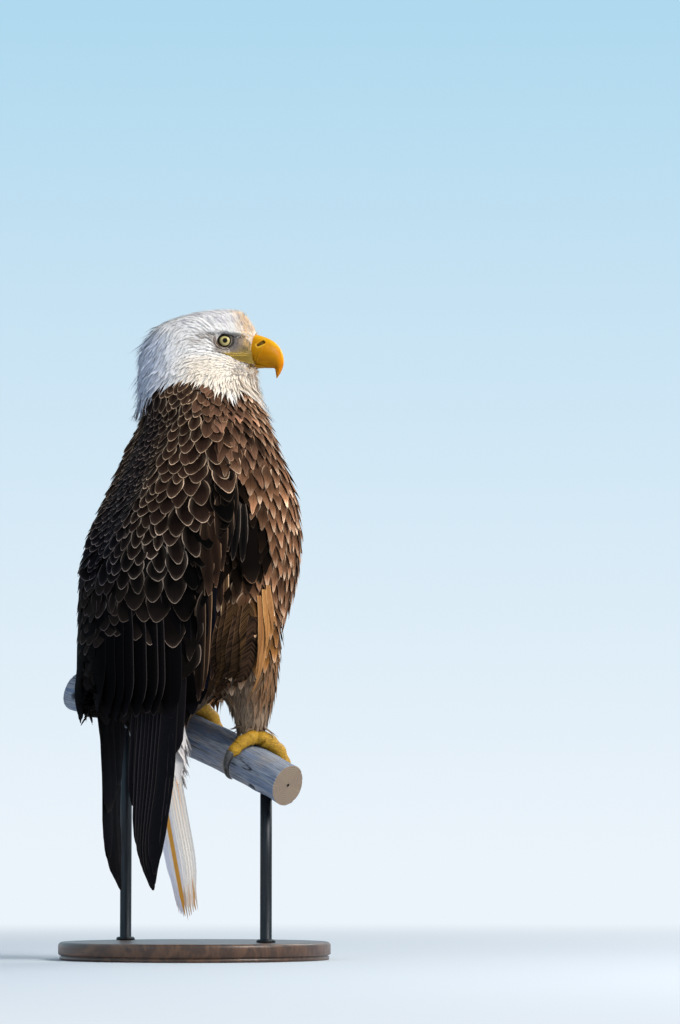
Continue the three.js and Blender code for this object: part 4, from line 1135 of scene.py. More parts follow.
def plumage(
    name, rough, shaft, fleck, sheen=0.2, glow=0.22, root_shade=0.0, pitch=0.9, crisp=0.3, through=0.0, streak=0.0,
):
    """Feather: a coloured vane of fine barbs slanting off the shaft, paler towards its worn rim. shaft is
    its tint and share. fleck, pitch and crisp are the barbs', glow draws the rim's tint inwards, root_shade
    paints shade over the vane away from its tip, where the feather above covers it, through makes the vane
    glow with its own colour, a painted light in place of light shining through it, and streak puts the rim's
    tint along the shaft."""
    finish = Finish(name, {"Roughness": rough, "Specular IOR Level": sheen})
    split = lambda kept: (
        finish.node("ShaderNodeSeparateXYZ", {}, {0: finish.read(kept, "Vector")}, axis) for axis in "XYZ"
    )
    span, reach, rim = split("vane")
    tone, trimmed, length = split("mark")
    trim, black = finish.read("trim", "Color"), (0.0, 0.0, 0.0)
    slant = {0: reach - abs(span) * 1.3, 1: span * 0.07, 2: tone * 61}
    place = finish.node("ShaderNodeCombineXYZ", {}, slant)
    barbs = finish.noise(place, pitch, 3, 0.7)
    clumps = finish.noise(place, 0.16, 2)
    to_tip = length - reach
    if streak:
        edged = 1 - (abs(span) + clumps * 1.2).step(streak * 0.7, streak * 1.3)
    else:
        edged = 1 - rim.step(0.5, 1.0 + clumps * 0.9)
    colour = finish.read("tint", "Color")
    for share, dye in (
        (barbs.step(0.5 - crisp, 0.5 + crisp) * fleck, black),
        # Painted shade towards the root, where the feather above covers it.
        (to_tip.step(5.0, 24.0) * root_shade, black),
        ((1 - rim.step(0.2, 5.5 + clumps * 3)) * trimmed * glow, trim),
        ((1 - to_tip.step(1.0, 10 + clumps * 8)) * finish.read("trim", "Alpha"), trim),
        (edged * trimmed, trim),
        ((1 - abs(span).step(0.15, 0.5)) * shaft[1], shaft[0]),
    ):
        colour = finish.mix(share, colour, dye)
    # The vane glows with its own colour by through: painted light, in place of light shining through it.
    finish.give({"Base Color": colour, "Emission Color": colour, "Emission Strength": through})
    finish.bump(barbs + clumps, 0.0003, 0.6)
    return finish


ARM_FRONT = (  # the angle of the wing's front edge round the body, at heights over the right sole
    (25, 102), (47, 100), (79, 101), (121, 103), (178, 103), (242, 101), (294, 99), (348, 97), (376, 96),
    (396, 97), (412, 99),
)
brown_plumage = plumage(
    "brown_feathers", 0.78, (tint(16, 11, 9), 0.5), 0.45, sheen=0.03, glow=0.08, root_shade=0.7,
)


def round_body(points):
    """The angle round the trunk from straight ahead, in degrees, and the height over the right sole."""
    ahead, right, up = on_bird(points)
    return np.degrees(np.arctan2(np.abs(right), ahead + 34)), up


def behind_front(points):
    """How far round a place is behind the wing's front edge, in degrees."""
    angle, up = round_body(points)
    return angle - line_at(ARM_FRONT, up)


def brown(points):
    return 1 - whiteness(points, 18)


def thigh(points):
    """1 on the feathered leg, below the belly."""
    ahead, right, up = on_bird(points)
    low = np.interp(ahead, (-40, 30), (70, 128))
    return ease(low + 5, low - 5, up) * ease(20, 26, np.abs(right)) * (ahead > -52)


def body_spacing(points):
    """How far apart the feathers are: close on the back, wider on the breast, and widest on the wing."""
    angle, up = round_body(points)
    into = behind_front(points)
    low = ease(330, 160, up)
    back = 8.0 + 2.0 * low
    breast = 8.2 + 3.4 * ease(410, 350, up) + 0.6 * low
    plain = back + (breast - back) * ease(6, -10, into)
    turn = angle - 6 * low
    broad = np.interp(turn, (98, 112, 126, 140, 158), (17.5, 16.5, 13.5, 10.5, 8.2))
    broad = broad + low * np.interp(turn, (112, 126, 150), (0, 3.5, 4.5))
    broad = broad + 3.5 * ease(222, 190, up) * ease(158, 148, angle)
    wing = ease(-4, 4, into) * ease(436, 352, up)
    return plain + (broad - 2.5 * ease(300, 400, up) * (broad > 12) - plain) * wing


# How far behind the wing's front edge the hollow before it starts, and its coverts are rooted, in degrees.
HOLLOW = ((190, -8), (205, -24), (222, -32), (245, -36), (270, -34), (298, -22), (325, -8), (345, 0))
COVERT_FRONT = ((160, 24), (200, 22), (235, 20), (260, 15), (285, 9), (315, 5), (345, 0))


def covert_front(points):
    return line_at(COVERT_FRONT, level(points))


def hollow_share(points):
    """1 in the shadowed hollow between the breast and the folded wing, at a feather's root."""
    into, up = behind_front(points), level(points)
    start, end = line_at(HOLLOW, up), covert_front(points)
    within = ease(start - 3, start + 3, into) * ease(end + 4, end, into)
    return within * ease(182, 200, up) * ease(352, 325, up)


def body_tints(points, dice):
    """For each feather the vane's colour, its rim's, and the share that its tip takes of the rim's. They
    carry
    painted shade: darker and bluer down the back, darker low on the wing, on the flank below the wing and in
    the hollow before it.
    """
    angle, up = round_body(points)
    into = behind_front(points)
    front = ease(6, -12, into)
    low = ease(390, 190, up)
    shaded_back = ease(146, 168, angle)
    lowest = ease(226, 196, up) * (1 - front)
    rufous = ease(82, 75, angle) * ease(54, 62, angle) * ease(196, 168, up)
    flank = ease(76, 84, angle) * ease(6, -4, into) * ease(178, 160, up)
    edge = np.interp(up, (300, 341, 393, 424), (80, 90, 106, 113))
    smooth = ease(edge + 4, edge - 4, angle) * ease(315, 350, up) * ease(58, 76, angle)
    shade = hollow_share(points)
    # The breast's brown is paler at middle heights than above and below.
    paler_midway = np.interp(up, (190, 250, 310, 380), (0.84, 1.1, 1.16, 0.84))[:, None]

    # Painted shade and sky light: down the back the vanes turn darker and bluer.
    sky_blue_shade = np.array((0.001, 0.0016, 0.0044))
    # Darker low on the wing: partly the feathers' own darker brown, partly painted shade.
    vane = dyed(tint(62, 42, 33), low, tint(17, 14, 14))
    vane = vane * (1 - 0.7 * shaded_back[:, None]) + sky_blue_shade * shaded_back[:, None]
    vane = dyed(vane, front, tint(160, 113, 82) * paler_midway)
    # The lowest wing feathers darker still, partly painted shade; the rufous is their own colour.
    vane = dyed(dyed(vane, lowest, tint(34, 27, 24)), rufous * 0.85, tint(196, 132, 68))
    # Painted shade: the vanes darken on the flank under the wing's front.
    vane = dyed(vane * (1 - flank * 0.6)[:, None], smooth, tint(106, 76, 59))
    # Rims dimmer low on the wing: partly their own colour, partly painted shade.
    rim = dyed(dyed(tint(226, 190, 156), low, tint(178, 160, 146)), lowest, tint(120, 104, 92))
    # Painted shade: the rims dim and turn bluer down the back.
    rim = rim * (1 - 0.55 * shaded_back[:, None] * (0.9, 0.85, 0.6))
    rim = dyed(dyed(rim, front, tint(238, 204, 172)), 0.8 * smooth, tint(158, 116, 86))

    count = len(points)
    vane = vane * (np.exp(dice.normal(0, 0.25, count) * (1 + smooth)) * (1 - 0.97 * shade))[:, None]
    rim = rim * (np.exp(dice.normal(-0.05, 0.3, count)) * (1 - 0.93 * shade))[:, None]
    tip = front * np.clip(dice.normal(0.5, 0.3, count), 0, 0.95)
    return vane, rim, tip * (1 - 0.6 * rufous) * (1 - shade) * (1 - 0.65 * smooth)


SCALE_VANE = dict(
    rows=12, columns=12, drop=0.34, power=1.9, cup=0.1, fray=0.02, curl=0.05,
    profile=((0, 0.5), (0.25, 0.84), (0.55, 1.0), (0.8, 0.97), (1, 0.8)),
)


def coat(
    name, inside, seed, spacing, long, wide, rise, shape, finish, tints,
    first=level, tall=1.0, trim=0.85, toss=0.1, way=lie,
):
    """A tract of feathers over part of the skin. long and wide are in steps of the spacing."""
    roots, outs, gap = scattered(inside, spacing, first, seed, tall)
    count = len(roots)
    dice = np.random.default_rng(seed + 1)
    length = gap * measured(long, roots) * np.clip(dice.normal(1, 0.1, count), 0.75, 1.3) / 1000
    width = gap * measured(wide, roots) * np.clip(dice.normal(1, 0.1, count), 0.75, 1.25) / 1000
    line, ways = combed(roots, outs, length, dice.normal(0, toss, (count, 3)), way)
    looks = (*tints(roots, dice), trim, dice.random(count))
    roll = dice.normal(0, 0.05, count)
    lift = measured(rise, roots) * dice.normal(1, 0.15, count) / 1000
    return vanes(name, line, ways, length, width, shape, finish, looks, lift, roll, seed + 2)


def on_side(points, sign):
    return on_bird(points)[1] * sign > 0


def wing_lie(points):
    """The lie of the wing's feathers. Near its front they slant forward, so that they hang over its edge."""
    up = level(points)
    lean = ease(20, 4, behind_front(points) - covert_front(points)) * ease(170, 220, up) * ease(440, 400, up)
    return unit(lie(points)) + 0.3 * lean[:, None] * np.array((0, -1, 0))


def coverts_end(points):
    """How high over the right sole the lowest scale feathers are rooted: lower on the back."""
    return np.interp(round_body(points)[0], (100, 150, 164, 174), (166, 158, 148, 134))


def wing_wide(points):
    return 1.66 + 0.2 * ease(150, 172, round_body(points)[0])


def edge_rise(points):
    """The feathers stand highest along the wing's front edge."""
    near = np.exp(-((behind_front(points) - covert_front(points) - 3) / 6) ** 2)
    return 4.4 + 4.5 * near * ease(160, 200, level(points)) * ease(370, 330, level(points))


# The skin under the coat carries the same markings, darkened by more than half: painted shade under the
# feathers.
shaded_under_brown = body_tints(hull, np.random.default_rng(19))[0] * 0.45
colours[: len(hull), :3] += (shaded_under_brown - shaded_down) * (1 - white_share)[:, None]
skin.data.attributes["tint"].data.foreach_set("color", colours.astype(np.float32).ravel())

for side, sign in SIDES:
    rear = lambda points: (
        brown(points) * on_side(points, sign) * (behind_front(points) > covert_front(points) - 2)
        * (level(points) > coverts_end(points))
    )
    piece = coat(
        f"mantle_{side}", rear, 20, body_spacing, 2.5, wing_wide, edge_rise, SCALE_VANE, brown_plumage,
        body_tints, way=wing_lie,
    )


def rump_tints(points, dice):
    vane = tint(24, 20, 20) * np.exp(dice.normal(0, 0.25, (len(points), 1)))
    return vane, vane * 3, 0.0


def rump(points):
    """The low back between the ends of the folded wings."""
    return (
        brown(points) * (level(points) < coverts_end(points) + 8) * (round_body(points)[0] > 156)
        * (level(points) > 27)
    )


piece = coat(
    "rump", rump, 26, 8.0, 2.0, 1.9, 1.2, SCALE_VANE, brown_plumage, rump_tints, trim=0.15, toss=0.05,
)

# ------------------------------------------------------------------ feathers of the breast and flanks
# Narrower feathers, warm brown and worn pale at their tips, that hang loose over each other down the
# breast, belly and flanks. Low on the flank they turn rufous.
LANCE_VANE = dict(
    rows=10, columns=8, drop=0.42, power=1.5, cup=0.14, fray=0.05, curl=0.04,
    profile=((0, 0.5), (0.3, 0.85), (0.6, 1.0), (0.82, 0.86), (1, 0.55)),
)
for side, sign in SIDES:
    front = lambda points: (
        brown(points) * on_side(points, sign) * (behind_front(points) <= covert_front(points) + 2)
        * (1 - thigh(points)) * (round_body(points)[0] < 118)
    )
    piece = coat(
        f"breast_{side}", front, 30, body_spacing, 2.9, 1.7, 5.5, LANCE_VANE, brown_plumage, body_tints,
        tall=1.15, trim=0.6,
    )

# ------------------------------------------------------------------ trousers
# The long loose feathers of the thighs, combed down over the shanks to end in pale fluffy tips. Their
# barbs don't hook together, so each stands apart like the teeth of a comb.
loose_plumage = plumage("loose_feathers", 0.75, (tint(60, 44, 34), 0.5), 0.5)
LOOSE_VANE = dict(
    rows=14, columns=10, drop=0.4, power=1.3, cup=0.2, fray=0.22, curl=0.06, crowd=0.8,
    profile=((0, 0.6), (0.3, 0.9), (0.6, 1.0), (0.8, 0.8), (1, 0.4)),
)


def trouser_tints(points, dice):
    ahead, _, up = on_bird(points)
    vane = dyed(tint(92, 74, 60), ease(-10, 22, ahead), tint(138, 92, 54))
    vane = dyed(vane, ease(62, 40, up) * 0.7, tint(158, 138, 118))
    vane = vane * np.exp(dice.normal(0, 0.22, (len(points), 1)))
    rim = np.broadcast_to(tint(196, 166, 134), vane.shape)
    return vane, rim, np.clip(dice.normal(0.35, 0.2, len(points)), 0, 0.9)


for side, sign in SIDES:
    leg = lambda points: brown(points) * on_side(points, sign) * thigh(points)
    piece = coat(
        f"trousers_{side}", leg, 50, 6.2, 5.0, 1.35, 5.0, LOOSE_VANE, loose_plumage, trouser_tints,
        tall=1.3, trim=0.4, toss=0.16,
    )

# ------------------------------------------------------------------ long feathers of the folded wing
# Below the coverts the tertials and secondaries hang side by side down the flank, dark and smooth, each
# lying over the one in front. The foremost show their brown and cream edges along the wing's front.
# Over the hollow before the wing hang a few broad loose feathers with thin pale rims, painted near
# black: the shade of the hollow.
FLANK_LOW = 50  # the lowest the flank is followed. Below it they hang straight,
BELOW = 40  # as the line over this much above it goes on.
LONG_STEPS = 14


def on_flank(sign, angle, up):
    """Places on the skin at angles round the trunk and heights, and the ways out there."""
    out = np.stack((-sign * np.sin(np.radians(angle)), -np.cos(np.radians(angle)), 0 * angle), -1)
    axis = MIDDLE + np.stack((0 * up, 0 * up + 0.034, up / 1000), -1)
    places, ways = [], []
    for origin, way in zip((axis + out * 0.3).reshape(-1, 3), out.reshape(-1, 3)):
        place, normal, _, _ = skin_tree.ray_cast(Vector(origin), Vector(-way))
        places.append(place)
        ways.append(normal)
    return np.array(places).reshape(out.shape), unit(np.array(ways).reshape(out.shape) * 0.5 + out)


def hung(sign, table, layers):
    """Lines of feathers down the flank. Each row of the table starts with the angle and height at the root
    and at the tip, and layers say how far out they lie (mm)."""
    angle, top, tip_angle, tip = (np.array(column, float)[:, None] for column in list(zip(*table))[:4])
    run = np.linspace(0, 1, LONG_STEPS + 1)
    up = top + (tip - top) * run
    angle = angle + (tip_angle - angle) * run
    on = np.maximum(up, FLANK_LOW)
    points, ways = on_flank(sign, angle, on)
    low, high = (on_flank(sign, angle, np.full_like(up, FLANK_LOW + more))[0] for more in (0, BELOW))
    points = points + (low - high) * ((on - up) / BELOW)[..., None] * (0.6, 0.6, 1)
    for _ in range(2):
        points[:, 1:-1] = (points[:, :-2] + points[:, 1:-1] * 2 + points[:, 2:]) / 4
        ways[:, 1:-1] = unit(ways[:, :-2] + ways[:, 1:-1] * 2 + ways[:, 2:])
    return points + ways * np.array(layers)[:, None, None] / 1000, ways


TERTIAL_VANE = dict(
    rows=26, columns=10, drop=0.09, power=2.2, cup=0.12, fray=0.015, lift=1.0, crowd=0.8,
    profile=((0, 0.7), (0.4, 1.0), (0.85, 0.98), (0.95, 0.85), (1, 0.6)),
)
BROAD_VANE = dict(
    rows=18, columns=12, drop=0.3, power=2.3, cup=0.2, fray=0.03, curl=0.1,
    profile=((0, 0.5), (0.25, 0.85), (0.6, 1.0), (0.85, 0.92), (1, 0.7)),
)
LOOSE_BROAD_VANE = dict(
    rows=20, columns=14, drop=0.34, power=1.5, cup=0.16, fray=0.16, curl=0.05,
    profile=((0, 0.6), (0.3, 0.9), (0.6, 1.0), (0.85, 0.8), (1, 0.45)),
)
open_plumage = plumage(
    "open_feathers", 0.75, (tint(40, 28, 22), 0.6), 0.95, sheen=0.05, root_shade=0.55, pitch=0.45, crisp=0.1,
)
# Each row: angle and height at the root, the same at the tip, width, tint, rim tint, rim's share.
EDGE_STRIPS = (
    (97.5, 226, 96, 84, 11, (120, 84, 58), (214, 178, 138), 1.0),
    (102, 228, 100.5, 74, 13, (60, 43, 36), (112, 84, 64), 0.8),
    (106.5, 226, 105, 62, 9, (16, 19, 34), (26, 26, 40), 0.5),
    (110.5, 226, 109, 60, 12, (72, 51, 40), (156, 122, 94), 0.9),
    (115, 222, 113.5, 48, 14, (50, 38, 34), (134, 108, 86), 0.7),
)
UNDER_COVERTS = (
    (112, 262, 110, 172, 19, (66, 47, 37), (150, 120, 96), 0.7),
    (108, 276, 106, 182, 18, (72, 50, 38), (158, 124, 96), 0.8),
    (104, 296, 102.5, 204, 18, (50, 36, 29), (140, 112, 90), 0.8),
    (100.5, 318, 99, 226, 18, (34, 25, 21), (122, 98, 80), 0.8),
    (97, 336, 96, 252, 17, (26, 19, 17), (108, 88, 74), 0.8),
)
# Their near black is painted shade of the hollow.
HOLLOW_FEATHERS = (
    (84, 280, 80, 190, 46, (30, 21, 17), (120, 92, 70), 0.8),
    (93, 290, 95, 217, 15, (12, 10, 11), (104, 92, 84), 1.0),
    (88, 288, 88, 215, 15, (14, 11, 11), (104, 92, 84), 1.0),
    (98, 280, 99, 232, 15, (14, 11, 11), (84, 70, 60), 0.8),
)
RUFOUS_LOCKS = (
    (67, 190, 68, 128, 13, (170, 114, 62), (214, 168, 112), 0.4),
    (71, 184, 71.5, 96, 12, (190, 130, 70), (222, 176, 118), 0.4),
    (75, 176, 74.5, 70, 11, (164, 108, 58), (208, 160, 102), 0.4),
    (72.5, 146, 72, 50, 11, (184, 126, 70), (218, 170, 112), 0.4),
)
LOOSE_FLANK = [
    (
        angle, 150 + 8 * (i % 3), angle - 0.5, 40 + 12 * (i % 2) + 7 * (i % 3), 24,
        (94 + 10 * (i % 3), 68 + 7 * (i % 3), 50), (146, 110, 82), 0.2,
    )
    for i, angle in enumerate((98, 95, 92, 89, 86, 83, 80))
]


def tertials(count=13):
    """The rows of the tertials, which turn from the flank to the back in uneven steps."""
    dice = np.random.default_rng(80)
    angles = np.linspace(111, 177, count) + dice.normal(0, 0.8, count)
    tops = np.interp(angles, (109, 135, 164, 177), (212, 206, 194, 176)) + dice.normal(0, 4, count)
    ends = np.interp(angles, (109, 116, 130, 150, 167, 177), (52, 36, 28, 20, 26, 30))
    ends = ends + dice.normal(0, 6, count)
    vanes_tint = np.exp(dice.normal(0, 0.2, (count, 1))) * (16, 14, 17)
    rimmed = np.where((angles > 138) & (angles < 160), 0.4, 0.1)
    rims_tint = np.array((26, 24, 27)) + rimmed[:, None] * (110, 96, 88)
    return list(zip(angles, tops, angles - 1, ends, [29] * count, vanes_tint, rims_tint, 0.3 + rimmed))


def worn_set(name, sign, table, layers, shape, finish, seed, rise):
    """One mesh of feathers set down one side from a table of places, widths and tints."""
    dice = np.random.default_rng(seed)
    count = len(table)
    lines, ways = hung(sign, table, layers)
    length = np.linalg.norm(np.diff(lines, axis=1), axis=2).sum(1)
    wide, vane, rim, trim = (np.array(column) for column in list(zip(*table))[4:])
    looks = (tint(*vane.T).T, tint(*rim.T).T, 0.0, trim, dice.random(count))
    lift, roll = np.full(count, rise / 1000), dice.normal(0, 0.04, count)
    piece = vanes(name, lines, ways, length, wide / 1000, shape, finish, looks, lift, roll, seed + 1)


for side, sign in SIDES:
    for kind, table, layers, shape, finish, seed, rise in (
        ("tertials", tertials(), np.linspace(-2.0, 0.5, 13), TERTIAL_VANE, brown_plumage, 81, 6),
        ("wing_edge", EDGE_STRIPS, (-0.5, 0.0, 0.5, 1.0, 1.5), TERTIAL_VANE, brown_plumage, 83, 8),
        ("under_coverts", UNDER_COVERTS, (3.8, 3.6, 3.4, 3.2, 3.0), BROAD_VANE, brown_plumage, 85, 5),
        ("hollow_feathers", HOLLOW_FEATHERS, (3.5, 6.0, 5.5, 5.0), BROAD_VANE, brown_plumage, 87, 4),
        ("loose_flank", LOOSE_FLANK, np.linspace(4.5, 6.0, 7), LOOSE_BROAD_VANE, open_plumage, 89, 4),
        ("rufous_locks", RUFOUS_LOCKS, (5.0, 6.0, 5.5, 6.5), LOOSE_BROAD_VANE, loose_plumage, 91, 6),
    ):
        worn_set(f"{kind}_{side}", sign, table, layers, shape, finish, seed, rise)

# ------------------------------------------------------------------ flight feathers
# Long stiff feathers folded over each other down each side of the tail. The primaries make the point,
# the broader secondaries and tertials lie outside them and stop short, worn ragged at their tips.
HAND = (  # height, then the blade's front edge ahead and to the side, and its back edge
    (100, -95, 86, -131, 74), (50, -97, 80, -136, 62), (0, -98, 75, -134, 54), (-50, -98, 68, -134, 48),
    (-95, -104, 61, -134, 46), (-136, -108, 52, -133, 45), (-168, -108, 47, -127, 43),
    (-186, -108, 43, -116, 41),
)
flight_plumage = plumage("flight_feathers", 0.7, (tint(8, 7, 7), 0.8), 0.4, sheen=0.06, glow=0.1)
PRIMARY_VANE = dict(
    rows=40, columns=10, drop=0.05, power=2.0, cup=0.08, fray=0.006, lift=1.0, crowd=0.75,
    profile=((0, 0.8), (0.5, 1.0), (0.85, 0.95), (0.95, 0.75), (1, 0.42)),
)
SECONDARY_VANE = dict(
    rows=30, columns=12, drop=0.075, power=2.2, cup=0.08, fray=0.02, lift=1.0, crowd=0.75,
    profile=((0, 0.8), (0.5, 1.0), (0.9, 0.95), (1, 0.7)),
)
# The heights of the tips and of the roots, the places across the hand and out from it, from first to last,
# how unevenly they lie, their width, their tint, and the rim's share of the tip.
FOLDED = {
    "primaries": (
        (-168, -182, -187, -184, -176, -164, -146), 100, (0.24, 0.9), (-3.4, 1.2), 0, 23, (13, 13, 19), 0.0,
    ),
    "secondaries": (
        (-22, -34, -46, -58, -68, -78, -86, -92), 96, (0.16, 0.94), (2.0, 6.2), 0.04, 29, (22, 20, 25), 0.3,
    ),
}


def bird_point(ahead, right, up):
    return MIDDLE + np.stack(np.broadcast_arrays(-1.0 * right, -1.0 * ahead, 1.0 * up), -1) / 1000


def on_blade(sign, share, up, layer):
    """A place on the folded hand: a share of the way back across it, a height, and a distance out."""
    heights, *columns = np.array(HAND[::-1], float).T
    fa, fr, ba, br = (np.interp(up, heights, column) for column in columns)
    front, back = bird_point(fa, sign * fr, up), bird_point(ba, sign * br, up)
    out = unit(np.cross(front - back, UP)) * -sign
    return front + (back - front) * share[..., None] + out * layer[..., None] / 1000, out


for side, sign in SIDES:
    for kind, (tips, top, places, layers, uneven, wide, colour, tip) in FOLDED.items():
        dice = np.random.default_rng(60)
        count, steps = len(tips), 12
        run = np.linspace(0, 1, steps + 1)
        up = top + (np.array(tips)[:, None] - top) * run
        share = np.linspace(*places, count)[:, None] + 0 * run
        if uneven:
            share = share + uneven * dice.normal(0, 1, (count, 1))
        points, ways = on_blade(sign, share, up, np.linspace(*layers, count)[:, None] + 0 * run)
        length, width = (top - np.array(tips)) / 1000, np.full(count, wide / 1000)
        worn = dice.normal(1, 0.12, (count, 1))
        looks = (tint(*colour) * worn, tint(58, 52, 52) * worn, tip, 0.5, dice.random(count))
        piece = vanes(
            f"{kind}_{side}_folded", points, ways, length, width,
            PRIMARY_VANE if kind == "primaries" else SECONDARY_VANE, flight_plumage, looks,
            dice.normal(0.0006, 0.0003, count), dice.normal(0, 0.03, count), 61,
        )
        if kind == "primaries":
            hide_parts(f"primaries_{side}")

# ------------------------------------------------------------------ tail
# Twelve broad white feathers closed over each other, the middle pair on top and longest, some of them
# streaked golden brown along the shaft: painted light, as of sun shining through them. Those of the left
# half are painted a cool lavender shade. Long soft white coverts lie over their roots above and below.
TAIL_ROOT, TAIL_TIP = np.array((-86, 6)), np.array((-40, -224))  # ahead and up
TAIL_WEDGE = 12  # how much shorter the outermost feathers are
TAIL_HALF = ((0, 34), (0.25, 38), (0.7, 41), (1, 38))  # half its width along it
TAIL_THICK = ((0, 13), (0.25, 9.5), (0.7, 6.5), (1, 4.4))
TAIL_WIDE = 30.0  # of one feather
white_plumage = plumage("white_feathers", 0.75, (tint(240, 236, 228), 0.3), 0.06, sheen=0.12)
# Painted light: the tail's vanes glow a little with their own colour, in place of light shining through them.
tail_plumage = plumage(
    "tail_feathers", 0.65, (tint(176, 160, 140), 0.5), 0.03, sheen=0.12, glow=0.0, through=0.22, streak=6.5,
)
TAIL_VANE = dict(
    rows=34, columns=14, drop=0.16, power=1.3, cup=0.05, fray=0.03, lift=1.0, crowd=0.8,
    profile=((0, 0.35), (0.3, 0.7), (0.8, 1.0), (0.92, 0.88), (1, 0.4)),
)
count, steps = 12, 10
order = np.arange(count) - (count - 1) / 2  # from the right edge to the left, 0 in the middle
outer = np.abs(order) / 5.5
tail_run = TAIL_TIP - TAIL_ROOT
tail_long = math.hypot(*tail_run)
tail_down = unit(np.array((0.0, -tail_run[0], tail_run[1])))
tail_back = np.cross(tail_down, (1, 0, 0))
tail_back = tail_back * np.sign(tail_back[1])
dice = np.random.default_rng(70)
long_share = 1 - outer ** 2 * TAIL_WEDGE / tail_long
t = long_share[:, None] * np.linspace(0, 1, steps + 1)
half_wide = TAIL_WIDE / 2 * np.interp(t, (0, 0.3, 0.8, 1), (0.35, 0.7, 1, 0.66))
spread = (order / 5.5)[:, None] * (line_at(TAIL_HALF, t) - half_wide)
stack = line_at(TAIL_THICK, t) * (0.42 - 0.84 * outer[:, None]) + 0.35 * np.sign(order)[:, None]
points = bird_point(TAIL_ROOT[0] + tail_run[0] * t, -spread, TAIL_ROOT[1] + tail_run[1] * t)
points = points + tail_back * stack[..., None] / 1000
worn = dice.uniform(0.97, 1.0, count) * np.interp(order, (-5.5, -1, 1, 5.5), (0.9, 0.95, 1.0, 1.02))
length = long_share * worn * tail_long / 1000
dice = np.random.default_rng(71)
# Golden streaks along the shafts: painted light, as of sun shining through the white vanes.
golden = np.clip(dice.normal(0.1, 0.08, count), 0, 1)
golden[[1, 3, 5, 6]] = (0.8, 0.4, 0.6, 1.0)
# Painted shade: the feathers of the left half turn a cool lavender.
shaded_side = ease(-1.0, 2.0, order)
vane = tint(255 - 32 * shaded_side, 250 - 25 * shaded_side, 243 - 3 * shaded_side).T * dice.uniform(0.92, 1.0, (count, 1))
rim = np.tile(tint(216, 152, 52), (count, 1))
rim[5] = tint(164, 130, 98)
looks = (vane, rim, 0.0, golden, dice.random(count))
ways, width = np.broadcast_to(tail_back, points.shape), np.full(count, TAIL_WIDE / 1000)
lift, roll = dice.normal(0.0003, 0.0002, count), dice.normal(0, 0.02, count)
tail = vanes("tail_feathers", points, ways, length, width, TAIL_VANE, tail_plumage, looks, lift, roll, 72)
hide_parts("tail")


def tail_covert(points):
    return whiteness(points, 18) * (level(points) < 200) * (level(points) > -34)


def along_tail(points):
    return np.broadcast_to(tail_down, points.shape)


def covert_rise(points):
    """They stand off under the belly and lie close over the back."""
    return 5.0 + 12.0 * ease(-76, -44, on_bird(points)[0])


def covert_tints(points, dice):
    vane = tint(234, 230, 230) * np.exp(dice.normal(-0.04, 0.07, (len(points), 1)))
    return vane, np.broadcast_to(tint(214, 200, 184), vane.shape), 0.15


COVERT_VANE = dict(
    rows=14, columns=10, drop=0.36, power=1.8, cup=0.3, fray=0.06,
    profile=((0, 0.5), (0.3, 0.85), (0.6, 1.0), (0.85, 0.85), (1, 0.45)),
)
coverts = coat(
    "tail_coverts_soft", tail_covert, 75, 5.4, 6.4, 3.6, covert_rise, COVERT_VANE, white_plumage,
    covert_tints, tall=1.5, trim=0.2, toss=0.05, way=along_tail,
)

# ------------------------------------------------------------------ head coat
# White hackles: tiny on the face, longer over the crown, and narrow, pointed and loose down the nape,
# where their tips stand off in a ragged fringe over the brown. Warmer on the cheek and by the bill.


def hackle_size(points):
    a, _, u = on_head(points)
    neck = np.maximum(ease(-45, -85, a), ease(-40, -75, u))
    face = ease(-22, 26, a) * ease(-52, -34, u)
    return 2.9 + 0.9 * neck - 1.0 * face


def hackle_long(points):
    a, _, u = on_head(points)
    crown = 0.4 * ease(10, 20, u) * ease(-80, -60, a)
    neck = np.maximum(np.maximum(ease(-35, -90, a), 0.85 * ease(-36, -80, u)), crown)
    face = ease(-26, 16, a) * ease(-52, -34, u)
    return 4.6 + 3.4 * neck - 2.0 * face


def hackle_rise(points):
    a, _, u = on_head(points)
    crown = ease(4, 24, u) * ease(-40, 0, a)
    brim = ease(20, 30, a) * ease(4, 12, u)
    nape = ease(-60, -95, a)
    chin = ease(-26, -38, u) * ease(4, 24, a)
    collar = ease(40, 4, level(points) - collar_height(points) - 18)
    face = ease(-22, 10, a) * ease(-40, -24, u) * ease(14, 8, u)
    locks = np.clip(wander(points * (1, 1, 0.6), 0.011, 31) - 0.1, 0, 1) * ease(-52, -88, a)
    return 2.4 + 0.8 * crown + 1.2 * brim + 2.6 * nape + 9.0 * locks + 5.2 * chin + 2.4 * collar - 1.0 * face


